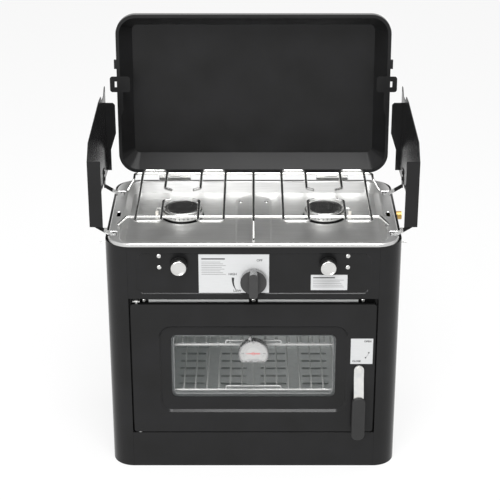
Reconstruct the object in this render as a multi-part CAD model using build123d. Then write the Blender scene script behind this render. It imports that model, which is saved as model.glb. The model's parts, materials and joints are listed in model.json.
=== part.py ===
from build123d import *
from math import atan2, cos, degrees, hypot, radians, sin, tan
import os

# Camp oven with a two burner stove on top. Millimetres, x right, y back, z up.
# The origin is the middle of the underside of the base pan.

# Body shell
body_width = 520.0
body_depth = 304.0
sheet = 1.2
corner_radius = 39.0
seam_half = 220.4
seam_flange = 18.5
pan_flange = 12.0
side_top = 446.0
top_flange = 8.8
back_flange = 14.0

# Clearances
part_gap = 0.3
pin_gap = 0.05

# Front of the body
base_panel_top = 71.0
base_panel_flange = 16.8
panel_bottom = 343.7
panel_height = 101.3
recess_margin = 14.4
recess_bottom = 353.5
recess_top = 431.8
recess_depth = 1.6
recess_chamfer = 10.0
panel_flange = 12.8
frame_setback = 18.5
opening_margin = 28.0
opening_bottom = 97.0
opening_top = 310.0
strip_start = 8.0
strip_end = 186.0
strip_bottom = 328.0
strip_height = 6.0
screw_radius = 4.0
screw_head = 1.5
screw_spread = 194.5

# Printed plates and rivets on the control panel
plate_thickness = 0.6
main_plate_left = -95.8
main_plate_width = 123.0
main_plate_bottom = 355.4
main_plate_height = 74.1
small_plate_left = 100.4
small_plate_width = 64.0
small_plate_bottom = 360.7
small_plate_height = 29.4
rivet_spread = 164.5
rivet_levels = (404.5, 426.0)

# Cooktop tray
tray_margin = 5.3
tray_front = -156.6
tray_back = 141.6
tray_top = 452.0
tray_corner = 40.0
side_rim = 20.7
front_rim = 8.0
back_rim = 10.0
basin_depth = 20.0
basin_slope = 8.0
basin_corner = 24.0
plateau_half = 33.0
plateau_front = -128.0
plateau_back = 105.0
plateau_height = 4.0
plateau_chamfer = 20.0
keyhole_x = 243.0
keyhole_y = -25.0
keyhole_length = 20.0
keyhole_width = 7.0
tray_screw_x = 24.0
tray_screw_y = 70.0

# Burners and igniters
burner_x = 130.0
burner_y = 12.0
burner_hole = 40.0
hole_rim = 1.5
burner_radius = 37.0
burner_wall = 2.0
burner_low = 421.0
burner_ring_top = 444.0
burner_seat = 42.0
riser_radius = 12.5
riser_bore = 7.5
tube_radius = 9.5
tube_wall = 1.2
tube_front = -84.0
cap_radius = 34.0
cap_height = 6.0
igniter_x = 176.0
igniter_y = 4.0
igniter_radius = 3.0
igniter_hole = 3.6
igniter_collar = 4.6
igniter_low = 415.0
igniter_top = 445.0
electrode_radius = 0.8

# Wire grate
grate_wire = 2.5
grate_level = 474.5
hook_offset = 20.0
inner_leg = 32.5
outer_leg = 77.5
loop_front = -109.5
loop_back = 131.0
hook_back = 34.0
hook_front = -12.0
hook_slant = 8.0
loop_bend = 7.0
front_rod_y = -78.0
back_rod_y = 128.0
rod_half = 224.0
rod_bend = 8.0
front_foot_x = 240.0
rear_foot_x = 235.0
rear_foot_y = 80.0
centre_wire_front = -113.0
centre_foot_y = -151.0
centre_foot_flat = 8.0

# Lid, described closed and then swung open
lid_width = 512.0
lid_front = -152.0
lid_back = 153.0
lid_level = 457.4
lid_depth = 44.0
lid_wall = 14.0
lid_taper = 27.0
lid_corner = 37.0
lid_panel_corner = 12.0
lid_hem = 5.0
lid_axis_y = 157.5
lid_axis_z = 454.0
lid_open = 94.1
hinge_spread = 150.0
hinge_width = 60.0
hinge_middle = 20.0
hinge_leaf = 22.0
hinge_flap = 11.0
knuckle_radius = 3.2
pin_radius = 1.7
lug_reach = 4.5
lug_length = 17.0
lug_y = -58.0
lug_low = 458.0
lug_height = 6.0
catch_thick = 1.5
catch_tab_inner = 231.0
catch_tab_outer = 269.0
catch_tab_front = -35.5
catch_tab_length = 30.0
catch_neck_inner = 245.0
catch_neck_length = 34.0
catch_tail_length = 31.0
catch_slot_width = 4.0
catch_slot_length = 11.0

# Side wings
wing_axis_x = 244.0
wing_axis_z = 446.5
strap_places = (-111.0, 74.0)
strap_width = 14.0
strap_thick = 1.5
strap_angle = 32.0
strap_top = 500.0
rivet_radius = 3.5
rivet_height = 1.2
strap_rivets = (481.0, 493.0)
wing_rear_y = 135.6
wing_rear_offset = 31.0
wing_length = 260.0
wing_splay = 9.0
wing_low_rear = 474.0
wing_low_front = 470.0
wing_high = 640.0
wing_corner = 8.0
wing_dip_start = 20.0
wing_dip_end = 48.0
wing_dip = 12.0
wing_flat_end = 90.0
wing_nose = 22.0
wing_shoulder = 618.0
wing_front_top = 592.0
wing_lip = 22.0
wing_flange_foot = 7.0
wing_flange_reach = 17.5
wing_flange_levels = (515.0, 548.0, 604.0, 608.0)
bracket_inner = 238.0
bracket_outer = 250.0
bracket_low = 439.5
ear_gap = 2.7
ear_thick = 2.0
notch_inner = 239.5
notch_half = 9.0

# Wire latch hooks on the sides
latch_wire = 1.3
latch_y = -60.0
latch_reach = 3.5
latch_level = 438.5
latch_drop = 25.5
latch_tip = 12.5
latch_ear = 1.5
latch_ear_spread = 6.0
latch_bracket_y = -67.5

# Knobs, stems and valves
small_knob_level = 411.0
small_knob_radius = 15.5
small_knob_depth = 15.0
small_cap_radius = 13.5
small_cap_depth = 3.0
oven_knob_level = 380.0
oven_knob_radius = 23.0
oven_knob_disc = 9.0
oven_grip_width = 15.0
oven_grip_length = 47.0
oven_grip_depth = 16.0
oven_grip_corner = 6.0
knob_gap = 3.0
push_travel = 2.0
stem_radius = 3.0
stem_hole = 4.5
valve_half = 11.0
valve_rise = 9.0
valve_front = -134.0
valve_length = 34.0
stem_in_valve = 14.0
stem_in_knob = 9.0
nozzle_radius = 3.5
nozzle_length = 18.0
manifold_y = -112.0
manifold_level = 396.0
manifold_radius = 6.0
manifold_left = -145.0
manifold_right = 236.0
manifold_bend = 15.0
inlet_y = 100.0
inlet_radius = 7.9
inlet_collar = 11.0
inlet_collar_depth = 4.0
inlet_reach = 20.0

# Oven
oven_lip = 4.0
oven_back = 129.0
oven_low = 48.0
oven_top = 322.0
oven_sheet = 1.0
flue_slot_length = 40.0
flue_slot_pitch = 60.0
flue_slot_ends = 0.45
flue_slot_height = 6.0
flue_slots = 5
floor_level = 94.0
slot_length = 50.0
slot_width = 8.0
slot_columns = (-118.5, -38.0, 38.0, 118.5)
slot_rows = (-42.0, -13.0, 17.0, 47.0, 77.0, 107.0)
rack_levels = (146.0, 240.0)
rack_margin = 10.0
rack_front = -126.0
rack_back = 118.0
rack_wire = 2.5
rack_bar = 1.5
rack_bars = 15
rack_corner = 12.0
rack_stop_half = 50.0
rack_stop_height = 8.0
rail_reach = 15.0
rail_drop = 10.0
oven_burner_half = 140.0
oven_burner_depth = 60.0
oven_burner_level = 68.0
oven_tube_radius = 8.0
oven_tube_bend = 40.0
horn_radius = 9.5
horn_gap = 8.0
gas_tube_radius = 4.0
gas_tube_shift = 3.0
gas_tube_bend = 12.0
shield_level = 347.0

# Door
door_gap = 3.0
door_bottom = 73.0
door_top = 332.7
door_return = 10.0
door_corner = 5.0
door_recess_margin = 48.6
door_recess_bottom = 114.0
door_recess_top = 289.5
door_recess_corner = 22.0
door_recess_depth = 4.0
window_margin = 21.6
window_bottom = 143.6
window_top = 270.3
window_corner = 10.0
glass_thick = 3.2
glass_lap = 4.8
liner_margin = 13.4
liner_bottom = 86.0
liner_top = 320.0
liner_depth = 14.3
gasket_width = 5.0
gasket_inset = 1.0
hinge_inset = 10.4
hinge_y = -147.0
door_pin_radius = 2.5
pin_head = 4.0
bracket_level = 337.0

# Door handle
handle_inset = 27.9
handle_level = 203.0
handle_standoff = 2.9
handle_thick = 1.6
handle_width = 17.7
handle_bend_top = 185.0
handle_bend_low = 160.0
handle_bend_out = 12.0
handle_strap_low = 120.0
grip_width = 24.0
grip_depth = 12.0
grip_end_flat = 1.2
grip_top = 154.0
grip_bottom = 67.0
shaft_radius = 4.0
collar_radius = 8.0
pawl_half = 5.5
pawl_reach = 13.5
pawl_thick = 2.0
keeper_gap = 3.0
keeper_width = 8.0
keeper_half = 6.0

# Thermometer in the door glass
dial_level = 237.5
dial_radius = 26.5
dial_drop = 16.0
dial_rim = 2.0
case_depth = 13.7
dial_recess = 4.3
dial_thick = 1.0
lens_thick = 1.0
needle_reach = 14.0
needle_tail = 12.0
needle_width = 2.0
needle_thick = 0.8
needle_hub = 3.0
needle_pin = 1.0
dial_stem_radius = 4.0
dial_stem_length = 15.5
dial_nut_radius = 8.0
dial_nut_depth = 3.6
tag_x = -6.0
tag_half = 4.0
tag_height = 7.0
tag_depth = 4.0

# Levels and planes worked out from the sizes above
recess_half = seam_half - recess_margin
door_half = seam_half - door_gap
door_recess_half = door_half - door_recess_margin
window_half = door_recess_half - window_margin
liner_half = door_half - liner_margin
opening_half = liner_half - opening_margin
oven_half = opening_half + oven_lip
rack_half = oven_half - rack_margin
rail_inner = oven_half - rail_reach
horn_end = oven_half - horn_gap
gas_tube_x = (oven_half + manifold_right) / 2 - gas_tube_shift
hinge_x = hinge_inset - door_half
handle_x = door_half - handle_inset
half_width = body_width / 2
half_depth = body_depth / 2
tray_half = half_width - tray_margin
front = -half_depth
inner_front = front + sheet
panel_top = panel_bottom + panel_height
recess_face = front + recess_depth
frame_front = front + frame_setback
frame_back = frame_front + sheet
rim_underside = tray_top - sheet
basin_floor = tray_top - basin_depth
basin_under = basin_floor - sheet
rod_level = grate_level - 2 * grate_wire
foot_level = tray_top + grate_wire
wing_yaw = degrees(atan2(wing_splay, wing_length))
latch_x = half_width + latch_reach
knob_back = recess_face - knob_gap
oven_front = frame_back
skin_back = front + sheet
recess_skin = front + door_recess_depth
glass_front = recess_skin + sheet
glass_back = glass_front + glass_thick
liner_back = skin_back + liner_depth
gasket_back = frame_front - part_gap


def block(x0, x1, y0, y1, z0, z1):
    # A rectangular solid between two corners
    size = Box(abs(x1 - x0), abs(y1 - y0), abs(z1 - z0))
    return Pos((x0 + x1) / 2, (y0 + y1) / 2, (z0 + z1) / 2) * size


def rod(start, end, radius):
    # A round bar between two points
    run = Vector(*end) - Vector(*start)
    bar = Cylinder(radius, run.length, align=(Align.CENTER, Align.CENTER, Align.MIN))
    return Plane(origin=start, z_dir=run) * bar


def wire(points, radius, bend):
    # A round wire along a bent path
    path = FilletPolyline(*points, radius=bend)
    section = Plane(origin=path @ 0, z_dir=path % 0) * Circle(radius)
    return sweep(section, path=path)


def rounded(x0, x1, y0, y1, corner, z):
    # A flat rectangle with round corners at one height
    face = RectangleRounded(x1 - x0, y1 - y0, corner)
    return Pos((x0 + x1) / 2, (y0 + y1) / 2, z) * face


def upright(x0, x1, z0, z1, corner, y):
    # A rectangle with round corners standing across the front, facing back
    face = RectangleRounded(x1 - x0, z1 - z0, corner)
    return Location((x0 / 2 + x1 / 2, y, z0 / 2 + z1 / 2), (90, 0, 0)) * face


def slab(face, depth):
    # An upright face thickened towards the back
    return extrude(face, depth, dir=(0, 1, 0))


def prism_xz(points, y, depth):
    # A polygon in x and z thickened towards the back
    face = make_face(Polyline(*[(x, y, z) for x, z in points], close=True))
    return extrude(face, depth, dir=(0, 1, 0))


def prism_yz(points, x, depth):
    # A polygon in y and z thickened towards the right
    face = make_face(Polyline(*[(x, y, z) for y, z in points], close=True))
    return extrude(face, depth, dir=(1, 0, 0))


def prism_xy(points, z, height):
    # A polygon in x and y raised from one height
    face = make_face(Polyline(*[(x, y, z) for x, y in points], close=True))
    return extrude(face, height, dir=(0, 0, 1))


def flip(shape):
    # The same piece on the other side
    return mirror(shape, about=Plane.YZ)


def both(shape):
    # A piece and its mirror image as two solids
    return [shape, flip(shape)]


def swing_lid(shape):
    # From the closed to the open position
    return Pos(0, lid_axis_y, lid_axis_z) * Rot(X=-lid_open) * Pos(0, -lid_axis_y, -lid_axis_z) * shape


def body_outline(inset, low, high):
    # The plan of the body as a block, inset by a wall
    face = rounded(
        inset - half_width, half_width - inset, front + inset, half_depth - inset,
        corner_radius - inset, low,
    )
    return extrude(face, high - low)


# Body shell

def base_pan():
    # A flat plate with a flange turned up inside the panels
    plate = body_outline(0, 0, sheet)
    ring = body_outline(sheet, sheet, sheet + pan_flange) - body_outline(2 * sheet, sheet, sheet + pan_flange)
    return plate + ring


def side_panel():
    # One sheet that wraps the front and rear corners of the right side
    ring = body_outline(0, sheet, side_top) - body_outline(sheet, sheet, side_top)
    panel = ring & block(seam_half, half_width, front, half_depth, sheet, side_top)
    low = sheet + pan_flange
    seam_inner = seam_half + sheet
    panel += block(seam_half, seam_inner, inner_front, front + seam_flange, low, basin_under - part_gap)
    panel += block(seam_half, seam_inner, half_depth - back_flange, half_depth - sheet, low, side_top)
    ledge_reach = half_depth - corner_radius
    inner = half_width - sheet
    panel += block(inner - top_flange, inner, -ledge_reach, ledge_reach, side_top - sheet, side_top)
    return panel


def right_side_panel():
    # The right side has the hole for the gas inlet
    start = (half_width - 2 * sheet, inlet_y, manifold_level)
    return side_panel() - rod(start, (half_width + sheet, inlet_y, manifold_level), inlet_radius + pin_gap)


def back_panel():
    # A flat back with folded edges and rows of vent louvres
    inner = half_depth - sheet
    fold = half_depth - back_flange
    low = sheet + pan_flange
    panel = block(-seam_half, seam_half, inner, half_depth, sheet, side_top)
    panel += block(-seam_half, seam_half, fold, inner, side_top - sheet, side_top)
    for side in (-1, 1):
        edge = side * seam_half
        panel += block(edge, edge - side * sheet, fold, inner, low, side_top - sheet)
    slot = flue_slot_height / 2
    for level in (oven_low, oven_top + back_flange):
        for column in range(flue_slots):
            x = (column - (flue_slots - 1) / 2) * 2 * flue_slot_length
            cut = upright(x - flue_slot_length, x + flue_slot_length - 4 * slot,
                          level, level + 2 * slot, 2 * slot * flue_slot_ends, inner - sheet)
            panel -= slab(cut, 3 * sheet)
    return panel


def front_base_panel():
    # The low panel under the door, with a flange that holds the lower hinge pin
    panel = block(-seam_half, seam_half, front, inner_front, sheet, base_panel_top)
    panel += block(-seam_half, seam_half, inner_front, inner_front + base_panel_flange,
                   base_panel_top - sheet, base_panel_top)
    hole = rod((hinge_x, hinge_y, base_panel_top - 2 * sheet),
               (hinge_x, hinge_y, base_panel_top + sheet), door_pin_radius + pin_gap)
    return panel - hole


def chamfered(half, low, high, cut):
    # Corners of a rectangle with its corners cut off
    return [
        (cut - half, low), (half - cut, low), (half, low + cut), (half, high - cut),
        (half - cut, high), (cut - half, high), (-half, high - cut), (-half, low + cut),
    ]


def upright_polygon(points, y):
    return make_face(Polyline(*[(x, y, z) for x, z in points], close=True))


def control_panel():
    # A panel with a shallow pressed recess for the knobs
    panel = block(-seam_half, seam_half, front, inner_front, panel_bottom, panel_top)
    pad = chamfered(recess_half + sheet, recess_bottom - sheet, recess_top + sheet, recess_chamfer)
    panel += prism_xz(pad, inner_front, recess_depth)
    wide = chamfered(recess_half, recess_bottom, recess_top, recess_chamfer)
    narrow = chamfered(recess_half - recess_depth, recess_bottom + recess_depth,
                       recess_top - recess_depth, recess_chamfer)
    panel -= loft([upright_polygon(wide, front), upright_polygon(narrow, recess_face)])
    fold = inner_front + panel_flange
    for side in (-1, 1):
        edge = side * seam_half
        panel += block(edge, edge - side * sheet, inner_front, fold, panel_bottom + sheet,
                       basin_under - part_gap)
    panel += block(-seam_half, seam_half, inner_front, frame_back, panel_bottom, panel_bottom + sheet)
    for x, level in ((-burner_x, small_knob_level), (0, oven_knob_level), (burner_x, small_knob_level)):
        panel -= rod((x, front - sheet, level), (x, fold, level), stem_hole)
    return panel


def oven_front_frame():
    # The flat frame that the door closes on
    frame = block(-seam_half, seam_half, frame_front, frame_back, base_panel_top, panel_bottom)
    return frame - block(-opening_half, opening_half, frame_front - sheet, frame_back + sheet,
                         opening_bottom, opening_top)


def frame_strips():
    # Bright strips above the opening
    strip = block(strip_start, strip_end, frame_front - sheet, frame_front, strip_bottom,
                  strip_bottom + strip_height)
    return both(strip)


def screw_head_y(x, y, level):
    # A low round head that faces forward
    head = rod((x, y - screw_head, level), (x, y, level), screw_radius)
    return head - block(x - screw_radius, x + screw_radius, y - screw_head, y - screw_head / 2,
                        level - 0.1 * screw_radius, level + 0.1 * screw_radius)


def screws():
    # Frame screws, panel rivets and the two screws in the tray
    level = strip_bottom + strip_height / 2
    solids = [screw_head_y(x, frame_front, level) for x in (-screw_spread, 0, screw_spread)]
    for level in rivet_levels:
        solids += [screw_head_y(x, recess_face, level) for x in (-rivet_spread, rivet_spread)]
    top = basin_floor + plateau_height
    for x in (-tray_screw_x, tray_screw_x):
        solids.append(rod((x, tray_screw_y, top), (x, tray_screw_y, top + screw_head), screw_radius))
    return solids


def heat_shield():
    # A plate over the oven that keeps its heat from the gas parts
    plate = body_outline(sheet, shield_level, shield_level + sheet)
    plate &= block(-half_width, half_width, frame_back, half_depth - back_flange,
                   shield_level, shield_level + sheet)
    low = (gas_tube_x, manifold_y, shield_level - sheet)
    high = (gas_tube_x, manifold_y, shield_level + 2 * sheet)
    hole = rod(low, high, gas_tube_radius + part_gap)
    return plate - hole


def panel_labels():
    # Two thin printed plates in the recess
    y0 = recess_face - plate_thickness
    main = block(main_plate_left, main_plate_left + main_plate_width, y0, recess_face,
                 main_plate_bottom, main_plate_bottom + main_plate_height)
    main -= rod((0, y0 - sheet, oven_knob_level), (0, recess_face + sheet, oven_knob_level), stem_hole)
    small = block(small_plate_left, small_plate_left + small_plate_width, y0, recess_face,
                  small_plate_bottom, small_plate_bottom + small_plate_height)
    return [main, small]


# Cooktop

def basin_face(inset, level):
    # The plan of the basin at one level, inset from its top edge
    half = tray_half - side_rim - inset
    return rounded(-half, half, tray_front + front_rim + inset, tray_back - back_rim - inset,
                   basin_corner - inset, level)


def tray_outline(inset, low, high):
    # The plan of the tray rim as a block
    face = rounded(inset - tray_half, tray_half - inset, tray_front + inset, tray_back - inset,
                   tray_corner - inset, low)
    return extrude(face, high - low)


def plateau(inset, low, high):
    # The raised middle of the tray floor
    half = plateau_half - inset
    y0 = plateau_front + inset
    y1 = plateau_back - inset
    cut = plateau_chamfer - inset
    points = [(-half, y0), (half, y0), (half, y1 - cut), (half - cut, y1), (cut - half, y1), (-half, y1 - cut)]
    return prism_xy(points, low, high - low)


def cooktop_tray():
    # A pressed stainless tray with a turned down rim and a sunk floor
    tray = tray_outline(0, side_top, tray_top) - tray_outline(sheet, side_top, rim_underside)
    tray += loft([basin_face(basin_slope - sheet, basin_under), basin_face(-sheet, tray_top)])
    tray -= loft([basin_face(basin_slope, basin_floor), basin_face(0, tray_top)])
    raised = basin_floor + plateau_height
    tray += plateau(0, basin_under, raised)
    tray -= plateau(sheet, basin_under, raised - sheet)
    for x in (-burner_x, burner_x):
        tray += rod((x, burner_y, basin_under), (x, burner_y, basin_floor + hole_rim), burner_hole + hole_rim)
        tray -= rod((x, burner_y, basin_under), (x, burner_y, basin_floor + hole_rim), burner_hole)
    for side in (-1, 1):
        x = side * igniter_x
        tray -= rod((x, igniter_y, basin_under), (x, igniter_y, basin_floor), igniter_hole)
        slot = SlotOverall(keyhole_length, keyhole_width, rotation=90)
        tray -= extrude(Pos(side * keyhole_x, keyhole_y, rim_underside) * slot, sheet)
        for y in strap_places:
            tray -= block(side * notch_inner, side * (tray_half + sheet), y - notch_half, y + notch_half,
                          side_top, tray_top)
    return tray


def burner(x):
    # A hollow burner with its flange under the tray and its mixing tube
    level = small_knob_level
    shell = rod((x, burner_y, burner_low), (x, burner_y, burner_ring_top), burner_radius)
    shell -= rod((x, burner_y, burner_low + burner_wall), (x, burner_y, burner_ring_top),
                 burner_radius - burner_wall)
    shell += rod((x, burner_y, basin_under - burner_wall), (x, burner_y, basin_under), burner_seat)
    shell -= rod((x, burner_y, burner_low + burner_wall), (x, burner_y, basin_under),
                 burner_radius - burner_wall)
    shell += rod((x, burner_y, level - riser_radius), (x, burner_y, burner_low + burner_wall), riser_radius)
    shell += rod((x, tube_front, level), (x, burner_y, level), tube_radius)
    bore = tube_radius - tube_wall
    shell -= rod((x, tube_front, level), (x, burner_y, level), bore)
    shell -= rod((x, burner_y, level), (x, burner_y, burner_low + burner_wall), riser_bore)
    return shell


def burner_caps():
    # The spreader discs that close the burners
    caps = []
    for x in (-burner_x, burner_x):
        cap = rod((x, burner_y, burner_ring_top), (x, burner_y, burner_ring_top + cap_height), cap_radius)
        edge = cap.edges().filter_by(GeomType.CIRCLE).sort_by(Axis.Z)[-1]
        cap = chamfer(edge, cap_height / 3)
        caps.append(cap + rod((x, burner_y, burner_ring_top), (x, burner_y, burner_ring_top + burner_wall),
                              burner_radius))
    return caps


def igniters():
    # Ceramic rods with a collar under the tray and a bent electrode on top
    solids = []
    for side in (-1, 1):
        x = side * igniter_x
        body = rod((x, igniter_y, igniter_low), (x, igniter_y, igniter_top), igniter_radius)
        body += rod((x, igniter_y, basin_under - plateau_height), (x, igniter_y, basin_under), igniter_collar)
        tip = side * (burner_x + burner_radius + electrode_radius + part_gap)
        points = [(x, igniter_y, igniter_top - electrode_radius), (x, igniter_y, igniter_top + cap_height),
                  (tip, igniter_y, igniter_top + cap_height)]
        solids.append(body + wire(points, electrode_radius, 2 * electrode_radius))
    return solids


# Grate

def grate_loop(side, sign):
    # One open loop beside a burner; sign is 1 for the loop away from the middle
    def place(offset, y):
        return (side * (burner_x + sign * offset), y, grate_level)

    points = [
        place(hook_offset, hook_back), place(inner_leg, hook_back + hook_slant),
        place(inner_leg, loop_back), place(outer_leg, loop_back),
        place(outer_leg, loop_front), place(inner_leg, loop_front),
        place(inner_leg, hook_front - hook_slant + grate_wire), place(hook_offset, hook_front),
    ]
    return wire(points, grate_wire, loop_bend)


def grate_loops(side):
    return [grate_loop(side, 1), grate_loop(side, -1)]


def grate_rods():
    # Two cross rods with bent feet and a wire along the middle
    foot = front_foot_x
    points = [
        (-foot, front_rod_y, foot_level), (-rod_half, front_rod_y, rod_level),
        (rod_half, front_rod_y, rod_level), (foot, front_rod_y, foot_level),
    ]
    front_rod = wire(points, grate_wire, rod_bend)
    points = [
        (-rear_foot_x, rear_foot_y, foot_level), (-rod_half, rear_foot_y + 2 * rod_bend, rod_level),
        (-rod_half, back_rod_y, rod_level), (rod_half, back_rod_y, rod_level),
        (rod_half, rear_foot_y + 2 * rod_bend, rod_level), (rear_foot_x, rear_foot_y, foot_level),
    ]
    back_rod = wire(points, grate_wire, rod_bend)
    points = [
        (0, back_rod_y, grate_level), (0, centre_wire_front, grate_level),
        (0, centre_foot_y + centre_foot_flat, foot_level), (0, centre_foot_y, foot_level),
    ]
    return [front_rod, back_rod, wire(points, grate_wire, rod_bend)]


# Gas parts

def gas_manifold():
    # The pipe behind the control panel that feeds the three valves
    z = manifold_level
    points = [
        (manifold_left, manifold_y, z), (manifold_right, manifold_y, z),
        (manifold_right, inlet_y, z), (half_width - 2 * inlet_collar_depth, inlet_y, z),
    ]
    return wire(points, manifold_radius, manifold_bend)


def gas_inlet():
    # The fitting on the right side that takes the hose
    start = half_width - 2 * inlet_collar_depth
    z = manifold_level
    fitting = rod((start, inlet_y, z), (half_width + inlet_reach, inlet_y, z), inlet_radius)
    return fitting + rod((half_width, inlet_y, z), (half_width + inlet_collar_depth, inlet_y, z), inlet_collar)


def valve(x, level, low, high):
    # A valve block with a bore for its stem and a nozzle at the back
    y1 = valve_front + valve_length
    body = block(x - valve_half, x + valve_half, valve_front, y1, low, high)
    deep = valve_front + stem_in_valve + push_travel + part_gap
    return body - rod((x, valve_front, level), (x, deep, level), stem_radius + pin_gap)


def gas_valves():
    # Two burner valves above the pipe and the oven valve below it
    solids = []
    level = small_knob_level
    low = manifold_level + manifold_radius
    for x in (-burner_x, burner_x):
        body = valve(x, level, low, level + valve_rise)
        y1 = valve_front + valve_length
        solids.append(body + rod((x, y1, level), (x, y1 + nozzle_length, level), nozzle_radius))
    level = oven_knob_level
    solids.append(valve(0, level, level - valve_rise, manifold_level - manifold_radius))
    return solids


def oven_gas_tube():
    # From the oven valve across, down beside the oven and into its burner
    z = oven_knob_level
    points = [
        (valve_half, manifold_y, z), (gas_tube_x, manifold_y, z),
        (gas_tube_x, manifold_y, oven_burner_level), (gas_tube_x, 0, oven_burner_level),
        (horn_end - gas_tube_radius, 0, oven_burner_level),
    ]
    return wire(points, gas_tube_radius, gas_tube_bend)


# Oven

def oven_box():
    # A box open at the front, with flue slots at the back and a hole for the gas tube
    wall = oven_half + oven_sheet
    box = block(-wall, wall, oven_front, oven_back + oven_sheet, oven_low, oven_top)
    box -= block(-oven_half, oven_half, oven_front, oven_back, oven_low + oven_sheet, oven_top - oven_sheet)
    high = oven_top - oven_sheet - 2 * flue_slot_height
    for index in range(flue_slots):
        x = (index - (flue_slots - 1) / 2) * flue_slot_pitch
        box -= block(x - flue_slot_length / 2, x + flue_slot_length / 2, oven_back, oven_back + oven_sheet,
                     high, high + flue_slot_height)
    return box - rod((oven_half, 0, oven_burner_level), (wall, 0, oven_burner_level),
                     gas_tube_radius + part_gap)


def oven_floor_plate():
    # A slotted plate over the burner that stands on its folded sides
    half = oven_half - part_gap
    y1 = oven_back - part_gap
    plate = block(-half, half, frame_back, y1, floor_level, floor_level + oven_sheet)
    for side in (-1, 1):
        plate += block(side * half, side * (half - oven_sheet), frame_back, y1, oven_low + oven_sheet,
                       floor_level)
    for x in slot_columns:
        for y in slot_rows:
            hole = Pos(x, y, floor_level) * SlotOverall(slot_length, slot_width)
            plate -= extrude(hole, oven_sheet)
    return plate - rod((half - oven_sheet, 0, oven_burner_level), (half, 0, oven_burner_level),
                       gas_tube_radius + part_gap)


def oven_burner():
    # A bent tube with a mixing horn and two feet on each leg
    z = oven_burner_level
    reach = oven_burner_half
    deep = oven_burner_depth
    points = [(-reach, -deep, z), (reach, -deep, z), (reach, deep, z), (-reach, deep, z)]
    bore = oven_tube_radius - oven_sheet
    tube = wire(points, oven_tube_radius, oven_tube_bend)
    tube += rod((reach, 0, z), (horn_end, 0, z), horn_radius)
    tube -= wire(points, bore, oven_tube_bend)
    tube -= rod((reach, 0, z), (horn_end, 0, z), bore)
    for x in (-reach / 2, reach / 2):
        for y in (-deep, deep):
            tube += block(x - oven_tube_radius, x + oven_tube_radius, y - oven_sheet, y + oven_sheet,
                          oven_low + oven_sheet, z - bore - oven_sheet / 2)
    for y in (-deep, deep):
        tube += rod((-reach, y, z), (-reach - oven_sheet, y, z), oven_tube_radius)
    return tube


def rack_rails():
    # Angles on the oven sides that carry the racks
    rails = []
    for level in rack_levels:
        high = level - rack_wire
        for side in (-1, 1):
            rail = block(side * rail_inner, side * oven_half, rack_front, rack_back, high - sheet, high)
            rail += block(side * (oven_half - sheet), side * oven_half, rack_front, rack_back,
                          high - rail_drop, high)
            rails.append(rail)
    return rails


def rack(level):
    # A wire frame with bars from front to back and a raised stop at the front
    half = rack_half
    points = [
        (-half, rack_front, level), (half, rack_front, level), (half, rack_back, level),
        (-half, rack_back, level),
    ]
    path = FilletPolyline(*points, radius=rack_corner, close=True)
    section = Plane(origin=path @ 0, z_dir=path % 0) * Circle(rack_wire)
    frame = sweep(section, path=path)
    step = 2 * half / (rack_bars + 1)
    bar_level = level + rack_wire
    for index in range(rack_bars):
        x = (index + 1) * step - half
        frame += rod((x, rack_front, bar_level), (x, rack_back, bar_level), rack_bar)
    stop = [
        (-rack_stop_half, rack_front, level), (-rack_stop_half, rack_front, level + rack_stop_height),
        (rack_stop_half, rack_front, level + rack_stop_height), (rack_stop_half, rack_front, level),
    ]
    return frame + wire(stop, rack_bar, 2 * rack_bar)


# Door

def door_plan(inset, y):
    # The outline of the door at one depth
    return upright(inset - door_half, door_half - inset, door_bottom + inset, door_top - inset,
                   door_corner - inset, y)


def window_plan(grow, y):
    # The outline of the window at one depth
    return upright(-window_half - grow, window_half + grow, window_bottom - grow, window_top + grow,
                   window_corner + grow, y)


def recess_plan(inset, y):
    # The outline of the pressed door recess at one depth
    return upright(inset - door_recess_half, door_recess_half - inset, door_recess_bottom + inset,
                   door_recess_top - inset, door_recess_corner - inset, y)


def handle_hole(y0, y1):
    return rod((handle_x, y0, handle_level), (handle_x, y1, handle_level), shaft_radius + pin_gap)


def door_skin():
    # The outer sheet with folded edges, a bevelled recess and the window opening
    skin = slab(door_plan(0, front), door_return) - slab(door_plan(sheet, skin_back), door_return)
    skin += slab(recess_plan(-sheet, skin_back), glass_front - skin_back)
    skin -= loft([recess_plan(0, front), recess_plan(door_recess_depth, recess_skin)])
    skin -= slab(window_plan(0, front), glass_front - front)
    pin_hole = rod((hinge_x, hinge_y, door_bottom), (hinge_x, hinge_y, door_top), door_pin_radius + pin_gap)
    return skin - handle_hole(front, skin_back) - pin_hole


def door_window():
    # The glass behind the skin, with a hole for the thermometer stem
    pane = slab(window_plan(glass_lap, glass_front), glass_thick)
    return pane - rod((0, glass_front, dial_level), (0, glass_back, dial_level), dial_stem_radius + pin_gap)


def door_liner():
    # A pan that closes the back of the door and holds the glass
    outer = upright(-liner_half, liner_half, liner_bottom, liner_top, door_corner, skin_back)
    inner = upright(sheet - liner_half, liner_half - sheet, liner_bottom + sheet, liner_top - sheet,
                    door_corner - sheet, skin_back)
    pan = slab(outer, liner_depth) - slab(inner, liner_depth - sheet)
    pan += slab(window_plan(-glass_lap + sheet, glass_back), liner_back - glass_back)
    pan -= slab(window_plan(-glass_lap, skin_back), liner_depth)
    return pan - handle_hole(liner_back - sheet, liner_back)


def gasket_plan(grow):
    inset = gasket_inset + grow
    return upright(-opening_half - inset, opening_half + inset, opening_bottom - inset,
                   opening_top + inset, door_corner + grow, liner_back)


def door_gasket():
    # A rope seal around the oven opening
    depth = gasket_back - liner_back
    return slab(gasket_plan(gasket_width), depth) - slab(gasket_plan(0), depth)


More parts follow.
